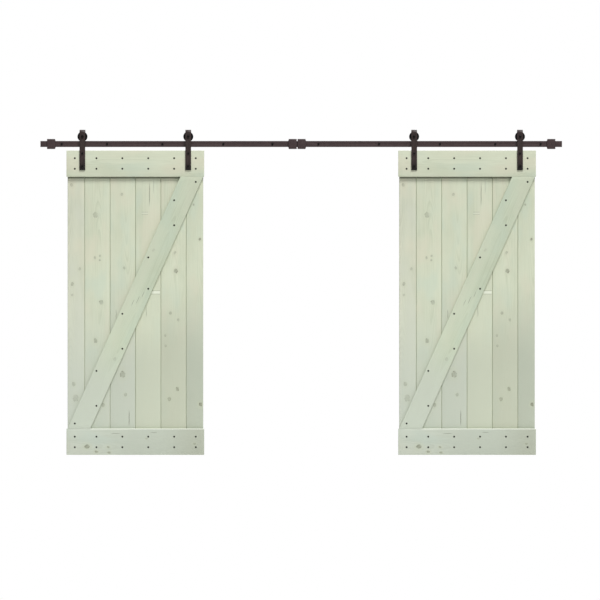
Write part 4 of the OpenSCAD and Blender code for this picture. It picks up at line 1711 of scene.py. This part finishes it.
class Kit:
    """The fastener trees and finishes that every sub-assembly draws on."""

    def __init__(self) -> None:
        """Builds each tree and each finish once."""
        self.trees = {"bolt": bolt_tree(), "nut": nut_tree(), "ring": ring_tree(),
                      "board_screw": board_screw_tree(), "set_screw": set_screw_tree()}
        self.finishes = {slot: coating.material() for slot, coating in FINISHES.items()}
        self.strap = STRAP.material()
        self.bolt = BOLT.material()
        self.seal = SEAL.material()

    def set_out(self, name: str, node: str, kind: str, sizes: dict[str, float], slot: Slot, body: str,
                spin: float = 180.0, facing: Triple = (-90.0, 0.0, 0.0),
                finish: bpy.types.Material | None = None) -> None:
        """Sets one kind of fastener where a node's solids are.

        Args:
            name: The new piece's name.
            node: The node that it replaces.
            kind: Which tree to use.
            sizes: The tree's sizes, in metres.
            slot: The finish's slot.
            body: The body that the fasteners ride on.
            spin: Greatest turn of a fastener about its axis, in degrees.
            facing: How its axis is turned from +Z, in degrees.
            finish: A finish of its own, in place of the slot's.
        """
        finish = finish or self.finishes[slot]
        upright = facing[0] == 0.0
        spots = []
        for low, high in islands(node):
            middle = (low + high) / 2
            spots.append((middle.x, middle.y, low.z) if upright else (middle.x, low.y, middle.z))
        points = bpy.data.meshes.new(name)
        points.from_pydata(spots, [], [])
        piece = bpy.data.objects.new(name, points)
        bpy.context.scene.collection.objects.link(piece)
        tree = self.trees[kind]
        values: dict[str, Any] = dict(sizes, Facing=[math.radians(a) for a in facing],
                                      Spin=math.radians(spin), Seed=len(name), Finish=finish)
        grower = piece.modifiers.new("grow", "NODES")
        grower.node_group = tree
        for item in tree.interface.items_tree:
            if item.item_type == "SOCKET" and item.in_out == "INPUT" and item.name in values:
                grower[item.identifier] = values[item.name]
        depsgraph = bpy.context.evaluated_depsgraph_get()
        grown = bpy.data.meshes.new_from_object(piece.evaluated_get(depsgraph), depsgraph=depsgraph)
        piece.modifiers.clear()
        shell = bmesh.new()
        shell.from_mesh(grown)
        bmesh.ops.remove_doubles(shell, verts=shell.verts, dist=GROWN_MERGE)
        bmesh.ops.recalc_face_normals(shell, faces=shell.faces)
        shell.to_mesh(grown)
        shell.free()
        grown.name = name
        grown.shade_smooth()
        grown.set_sharp_from_angle(angle=SMOOTH_ANGLE)
        piece.data = grown
        dress(piece, finish, body, slot, [node])


def softened(name: str, node: str, edge: float) -> bpy.types.Object:
    """Copies a node's shape with its sharp edges rounded.

    Args:
        name: The new piece's name.
        node: The node whose shape is copied.
        edge: Width of the rounding.

    Returns:
        The new object.
    """
    shell = merged_copy(node)
    bmesh.ops.dissolve_limit(shell, angle_limit=FLAT_ANGLE, verts=shell.verts, edges=shell.edges)
    edges = [e for e in shell.edges
             if len(e.link_faces) == 2 and e.calc_face_angle(0.0) > ROUNDED_ANGLE]
    bmesh.ops.bevel(shell, geom=edges, offset=edge, segments=2, profile=0.5, affect="EDGES",
                    clamp_overlap=True)
    bmesh.ops.recalc_face_normals(shell, faces=shell.faces)
    return finish_mesh(name, shell)


def turned(name: str, profile: Outline, centre: Vector, inlaid: Callable[[float, float], bool] | None,
           segments: int = 96) -> bpy.types.Object:
    """Turns a closed profile about an axle that points to the wall.

    Args:
        name: The new piece's name.
        profile: Points as radius and place along the axle.
        centre: The axle's middle.
        inlaid: Says whether a face, by its middle's radius and place, takes the second material.
        segments: How many steps make the turn.

    Returns:
        The new object.
    """
    shell = bmesh.new()
    rings = []
    for k in range(segments):
        angle = 2 * math.pi * k / segments
        spoke = Vector((math.cos(angle), 0.0, math.sin(angle)))
        rings.append([shell.verts.new(centre + spoke * radius + Vector((0.0, at, 0.0)))
                      for radius, at in profile])
    for k in range(segments):
        here, ahead = rings[k - 1], rings[k]
        for i, (radius, at) in enumerate(profile):
            before = profile[i - 1]
            face = shell.faces.new((here[i - 1], here[i], ahead[i], ahead[i - 1]))
            middle = ((radius + before[0]) / 2, (at + before[1]) / 2)
            face.material_index = 1 if inlaid and inlaid(*middle) else 0
    bmesh.ops.recalc_face_normals(shell, faces=shell.faces)
    return finish_mesh(name, shell)


# Hardware


@dataclass
class Roller:
    """A grooved nylon wheel on a sealed ball bearing, turning on one axle."""

    side: Side
    end: End
    kit: Kit
    groove_width: float = 7.5 * MM
    groove_radius: float = 30.7 * MM
    flange_lip: float = 1.0 * MM
    flange_round: float = 1.4 * MM
    dish_depth: float = 1.5 * MM
    dish_inner: float = 17.5 * MM
    dish_outer: float = 27.0 * MM
    shoulder: float = 2.5 * MM
    dish_slope: float = 1 * MM
    bore: float = 5.03 * MM
    seal_depth: float = 0.5 * MM
    wheel_edge: float = 0.4 * MM
    ring_edge: float = 0.25 * MM
    inside_edge: float = 0.1 * MM

    def __post_init__(self) -> None:
        """Reads the wheel's and bearing's sizes from their nodes."""
        stem = f"{self.side.value}_{self.end.value}"
        self.stem, self.body = stem, f"{stem}_roller"
        low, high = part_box(f"{stem}_wheel")
        self.centre = (low + high) / 2
        self.radius, self.half = (high.x - low.x) / 2, (high.y - low.y) / 2
        low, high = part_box(f"{stem}_bearing")
        self.seat_radius, self.seat_half = (high.x - low.x) / 2, (high.y - low.y) / 2

    def build(self) -> None:
        """Builds both pieces."""
        self.wheel()
        self.bearing()

    def wheel(self) -> None:
        """Turns the wheel, with a dished web, flared flanges and a ledge behind the bearing."""
        r, w, g = self.radius, self.half, self.groove_width / 2
        seat, ledge = self.seat_radius, self.seat_radius - self.shoulder
        deep, fine, slope = self.dish_depth, self.wheel_edge, self.dish_slope
        profile = rounded([
            (seat, -w, fine), (self.dish_inner, -w, fine),
            (self.dish_inner + slope, -w + deep, fine), (self.dish_outer - slope, -w + deep, fine),
            (self.dish_outer, -w, fine), (r, -w, self.flange_round),
            (r, -g - self.flange_lip, fine), (self.groove_radius, -g, fine),
            (self.groove_radius, g, fine), (r, g + self.flange_lip, fine),
            (r, w, self.flange_round), (self.dish_outer, w, fine),
            (self.dish_outer - slope, w - deep, fine), (self.dish_inner + slope, w - deep, fine),
            (self.dish_inner, w, fine), (ledge, w, fine), (ledge, self.seat_half, self.inside_edge),
            (seat, self.seat_half, self.inside_edge),
        ], 2)
        piece = turned(f"{self.stem}_wheel_nylon", profile, self.centre, None)
        dress(piece, self.kit.finishes[Slot.NYLON], self.body, Slot.NYLON, [f"{self.stem}_wheel"])

    def bearing(self) -> None:
        """Turns the bearing: an inner and an outer ring with a seal between them on each face."""
        wall = (self.seat_radius - self.bore) / 4
        inner, outer, half = self.bore + wall, self.seat_radius - wall, self.seat_half
        deep, fine, inside = self.seal_depth, self.ring_edge, self.inside_edge
        profile = rounded([
            (self.bore, -half, fine), (inner, -half, fine), (inner, -half + deep, inside),
            (outer, -half + deep, inside), (outer, -half, fine), (self.seat_radius, -half, 2 * fine),
            (self.seat_radius, half, 2 * fine), (outer, half, fine), (outer, half - deep, inside),
            (inner, half - deep, inside), (inner, half, fine), (self.bore, half, fine),
        ], 2)

        def on_seal(radius: float, at: float) -> bool:
            """Says whether a face is the seal between the rings."""
            return inner + inside < radius < outer - inside and abs(at) > half - 2 * deep

        piece = turned(f"{self.stem}_bearing_rings", profile, self.centre, on_seal, 72)
        piece.data.materials.append(self.kit.finishes[Slot.BEARING])
        piece.data.materials.append(self.kit.seal)
        dress(piece, self.kit.seal, self.body, Slot.BEARING, [f"{self.stem}_bearing"])


@dataclass
class DoorHardware:
    """One door's straps, screws, bolts, washers, nuts and axle bushes."""

    side: Side
    kit: Kit
    strap_edge: float = 0.7 * MM
    screw_head: float = 2.4 * MM
    screw_shank: float = 2.1 * MM
    door_head: float = 5.5 * MM
    door_shank: float = 4.0 * MM
    axle_head: float = 6.4 * MM
    axle_shank: float = 5.0 * MM
    thread_pitch: float = 1.25 * MM
    thread_depth: float = 0.6 * MM
    thread_length: float = 14 * MM
    end_taper: float = 0.8 * MM
    nut_clearance: float = 0.05 * MM
    washer_clearance: float = 0.5 * MM
    bush_clearance: float = 0.25 * MM
    ring_edge: float = 0.3 * MM
    bolt_spin: float = 12.0
    nut_spin: float = 14.0

    def __post_init__(self) -> None:
        """Names the door's body."""
        self.body = f"{self.side.value}_door"

    def build(self) -> None:
        """Builds every piece of hardware that moves with the door."""
        side = self.side.value
        for end in End:
            node = f"{side}_{end.value}_strap"
            dress(softened(f"{node}_bent", node, self.strap_edge), self.kit.strap, self.body,
                  Slot.BRONZE, [node])
        self.board_screws(f"{side}_board_screws")
        self.bolts(f"{side}_door_bolts", self.door_head, self.door_shank)
        self.bolts(f"{side}_axle_bolts", self.axle_head, self.axle_shank)
        self.nuts(f"{side}_door_nuts", self.door_shank)
        self.nuts(f"{side}_axle_nuts", self.axle_shank)
        self.rings(f"{side}_door_washers", self.door_shank + self.washer_clearance)
        self.rings(f"{side}_axle_bushes", self.axle_shank + self.bush_clearance)

    def board_screws(self, node: str) -> None:
        """Sets out the board screws.

        Args:
            node: The node that the screws replace.
        """
        low, high = islands(node)[0]
        sizes = {"Head Radius": (high.x - low.x) / 2, "Head": self.screw_head,
                 "Shank Radius": self.screw_shank, "Length": high.y - low.y}
        self.kit.set_out(f"{node}_domed", node, "board_screw", sizes, Slot.SCREW, self.body)

    def bolts(self, node: str, head: float, shank: float) -> None:
        """Sets out one kind of bolt.

        Args:
            node: The node that the bolts replace.
            head: Their heads' height.
            shank: Their shanks' radius.
        """
        low, high = islands(node)[0]
        sizes = {"Flats": high.x - low.x, "Head": head, "Shank Radius": shank,
                 "Length": high.y - low.y, "Thread": self.thread_length,
                 "Root Radius": shank - self.thread_depth, "Pitch": self.thread_pitch,
                 "Tip": self.end_taper}
        self.kit.set_out(f"{node}_threaded", node, "bolt", sizes, Slot.BRONZE, self.body,
                         self.bolt_spin, finish=self.kit.bolt)

    def nuts(self, node: str, shank: float) -> None:
        """Sets out one kind of nut.

        Args:
            node: The node that the nuts replace.
            shank: Their bolts' radius.
        """
        low, high = islands(node)[0]
        sizes = {"Flats": high.x - low.x, "Height": high.y - low.y,
                 "Bore Radius": shank + self.nut_clearance}
        self.kit.set_out(f"{node}_turned", node, "nut", sizes, Slot.ZINC, self.body, self.nut_spin)

    def rings(self, node: str, bore: float) -> None:
        """Sets out one kind of washer or bush.

        Args:
            node: The node that the rings replace.
            bore: Their bores' radius.
        """
        low, high = islands(node)[0]
        sizes = {"Outer Radius": (high.x - low.x) / 2, "Bore Radius": bore,
                 "Height": high.y - low.y, "Edge": self.ring_edge}
        self.kit.set_out(f"{node}_rounded", node, "ring", sizes, Slot.ZINC, self.body)


@dataclass
class Track:
    """The two rails, their spacers and wall screws, and the four stops."""

    kit: Kit
    body: str = "track"
    rail_edge: float = 0.8 * MM
    stop_edge: float = 0.6 * MM
    lag_head: float = 5.0 * MM
    lag_shank: float = 3.8 * MM
    lag_thread: float = 42 * MM
    lag_tip: float = 8 * MM
    lag_pitch: float = 3.5 * MM
    lag_thread_depth: float = 0.9 * MM
    lag_spin: float = 20.0
    spacer_bore: float = 4.5 * MM
    spacer_edge: float = 0.8 * MM
    socket_flats: float = 3.0 * MM

    def build(self) -> None:
        """Builds every piece that stays on the wall."""
        bronze = self.kit.finishes[Slot.BRONZE]
        for side in Side:
            node = f"rail_{side.value}"
            dress(softened(f"{node}_bar", node, self.rail_edge), bronze, self.body, Slot.BRONZE, [node])
            for end in End:
                node = f"{side.value}_{end.value}_stop"
                dress(softened(f"{node}_block", node, self.stop_edge), bronze, self.body,
                      Slot.BRONZE, [node])
        self.spacers()
        self.wall_screws()
        self.set_screws()

    def spacers(self) -> None:
        """Sets out the wall spacers."""
        low, high = islands("rail_spacers")[0]
        sizes = {"Outer Radius": (high.x - low.x) / 2, "Bore Radius": self.spacer_bore,
                 "Height": high.y - low.y, "Edge": self.spacer_edge}
        self.kit.set_out("rail_spacers_rounded", "rail_spacers", "ring", sizes, Slot.BRONZE, self.body)

    def wall_screws(self) -> None:
        """Sets out the lag screws."""
        low, high = islands("wall_screws")[0]
        sizes = {"Flats": high.x - low.x, "Head": self.lag_head, "Shank Radius": self.lag_shank,
                 "Length": high.y - low.y, "Thread": self.lag_thread, "Tip": self.lag_tip,
                 "Root Radius": self.lag_shank - self.lag_thread_depth, "Pitch": self.lag_pitch}
        self.kit.set_out("wall_screws_threaded", "wall_screws", "bolt", sizes, Slot.SCREW, self.body,
                         self.lag_spin)

    def set_screws(self) -> None:
        """Sets out the stops' set screws, with their sockets facing down."""
        low, high = islands("stop_set_screws")[0]
        sizes = {"Radius": (high.x - low.x) / 2, "Length": high.z - low.z,
                 "Socket Flats": self.socket_flats, "Socket Depth": (high.z - low.z) / 3}
        self.kit.set_out("stop_set_screws_socketed", "stop_set_screws", "set_screw", sizes,
                         Slot.SCREW, self.body, facing=(0.0, 0.0, 0.0))


# Studio


@dataclass
class Studio:
    """A pale floor, a white room, a broad light above the front and a soft one behind.

    Lights stand so many degrees to the left of straight in front, and above the horizon.
    """

    view_width: float = 4.206
    view_distance: float = 30.0
    view_end: float = 100.0
    aim: Span = (-0.0084, -1.094)
    floor_drop: float = 1.5
    floor_widths: float = 2.7
    floor_front: float = -6.5
    floor_back: float = 5.0
    floor_rough: float = 0.8
    sky: float = 0.32
    sun: float = 3.58
    sun_height: float = 60.0
    sun_left: float = -31.0
    sun_spread: float = 20.0
    fill: float = 2.3
    fill_height: float = 32.0
    fill_left: float = 165.0
    fill_spread: float = 70.0

    def build(self) -> None:
        """Builds the camera, the lights and the floor."""
        low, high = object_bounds()
        scene = bpy.context.scene
        scene.view_settings.view_transform = "Standard"
        self._camera()
        self._world()
        self._light()
        self._floor(low, high)

    def _camera(self) -> None:
        """Looks straight at the doors from far off, so that nothing is drawn in."""
        camera = bpy.data.cameras.new("camera")
        camera.lens = camera.sensor_width * self.view_distance / self.view_width
        camera.clip_end = self.view_end
        holder = bpy.data.objects.new("camera", camera)
        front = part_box("left_top_board")[0].y
        holder.location = (self.aim[0], front - self.view_distance, self.aim[1])
        holder.rotation_euler = (math.radians(90), 0.0, 0.0)
        bpy.context.scene.collection.objects.link(holder)
        bpy.context.scene.camera = holder

    def _world(self) -> None:
        """A white room that lights evenly and looks plain white."""
        world = bpy.data.worlds.new("white_room")
        world.use_nodes = True
        world.node_tree.nodes.clear()
        graph = Graph(world.node_tree)
        seen = graph.node("ShaderNodeLightPath").outputs["Is Camera Ray"]
        strength = graph.node("ShaderNodeMapRange", {"Value": seen, "To Min": self.sky, "To Max": 1.0})
        white = (1.0, 1.0, 1.0, 1.0)
        sheet = graph.node("ShaderNodeBackground", {"Color": white, "Strength": strength.outputs[0]})
        graph.node("ShaderNodeOutputWorld", {0: sheet.outputs[0]})
        bpy.context.scene.world = world

    def _light(self) -> None:
        """A broad soft light above the front, and a weaker one above the back."""
        self._lamp("key_light", self.sun, self.sun_height, self.sun_left, self.sun_spread)
        self._lamp("back_light", self.fill, self.fill_height, self.fill_left, self.fill_spread)

    def _lamp(self, name: str, energy: float, height: float, left: float, spread: float) -> None:
        """Adds one distant soft light.

        Args:
            name: The light's name.
            energy: Its strength.
            height: Its height above the horizon, in degrees.
            left: How far to the left of straight in front it stands, in degrees.
            spread: How broad it looks, in degrees.
        """
        lamp = bpy.data.lights.new(name, "SUN")
        lamp.energy = energy
        lamp.angle = math.radians(spread)
        holder = bpy.data.objects.new(name, lamp)
        up, side = math.radians(height), math.radians(left)
        towards = Vector((-math.sin(side) * math.cos(up), -math.cos(side) * math.cos(up), math.sin(up)))
        holder.rotation_euler = towards.to_track_quat("Z", "Y").to_euler()
        bpy.context.scene.collection.objects.link(holder)

    def _floor(self, low: Vector, high: Vector) -> None:
        """Lays a plain pale floor well below the doors.

        Args:
            low: The object's lowest corner.
            high: Its highest corner.
        """
        level = low.z - self.floor_drop
        reach = self.floor_widths * (high.x - low.x) / 2
        corners = [(-reach, self.floor_front), (reach, self.floor_front),
                   (reach, self.floor_back), (-reach, self.floor_back)]
        mesh = bpy.data.meshes.new("floor")
        mesh.from_pydata([(x, y, level) for x, y in corners], [], [(0, 1, 2, 3)])
        floor = bpy.data.objects.new("floor", mesh)
        bpy.context.scene.collection.objects.link(floor)
        material, _, shader = new_material("pale_floor")
        shader.inputs["Base Color"].default_value = tint(228, 228, 226)
        shader.inputs["Roughness"].default_value = self.floor_rough
        mesh.materials.append(material)
        floor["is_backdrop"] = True


def main() -> None:
    """Builds every sub-assembly in order."""
    logging.basicConfig(level=logging.INFO, format="%(name)s %(message)s")
    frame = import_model()
    NODES.update(frame["nodes"])
    Studio().build()
    groups = {"knot": KnotGroup().build(), "streak": StreakGroup().build(),
              "figure": FigureGroup().build()}
    settings = Door(Side.LEFT, {}).settings()
    woods = {part: wood.material(groups, settings[part]) for part, wood in WOODS.items()}
    kit = Kit()
    Track(kit).build()
    for side in Side:
        Door(side, woods).build()
        DoorHardware(side, kit).build()
        for end in End:
            Roller(side, end, kit).build()


if __name__ == "__main__":
    main()
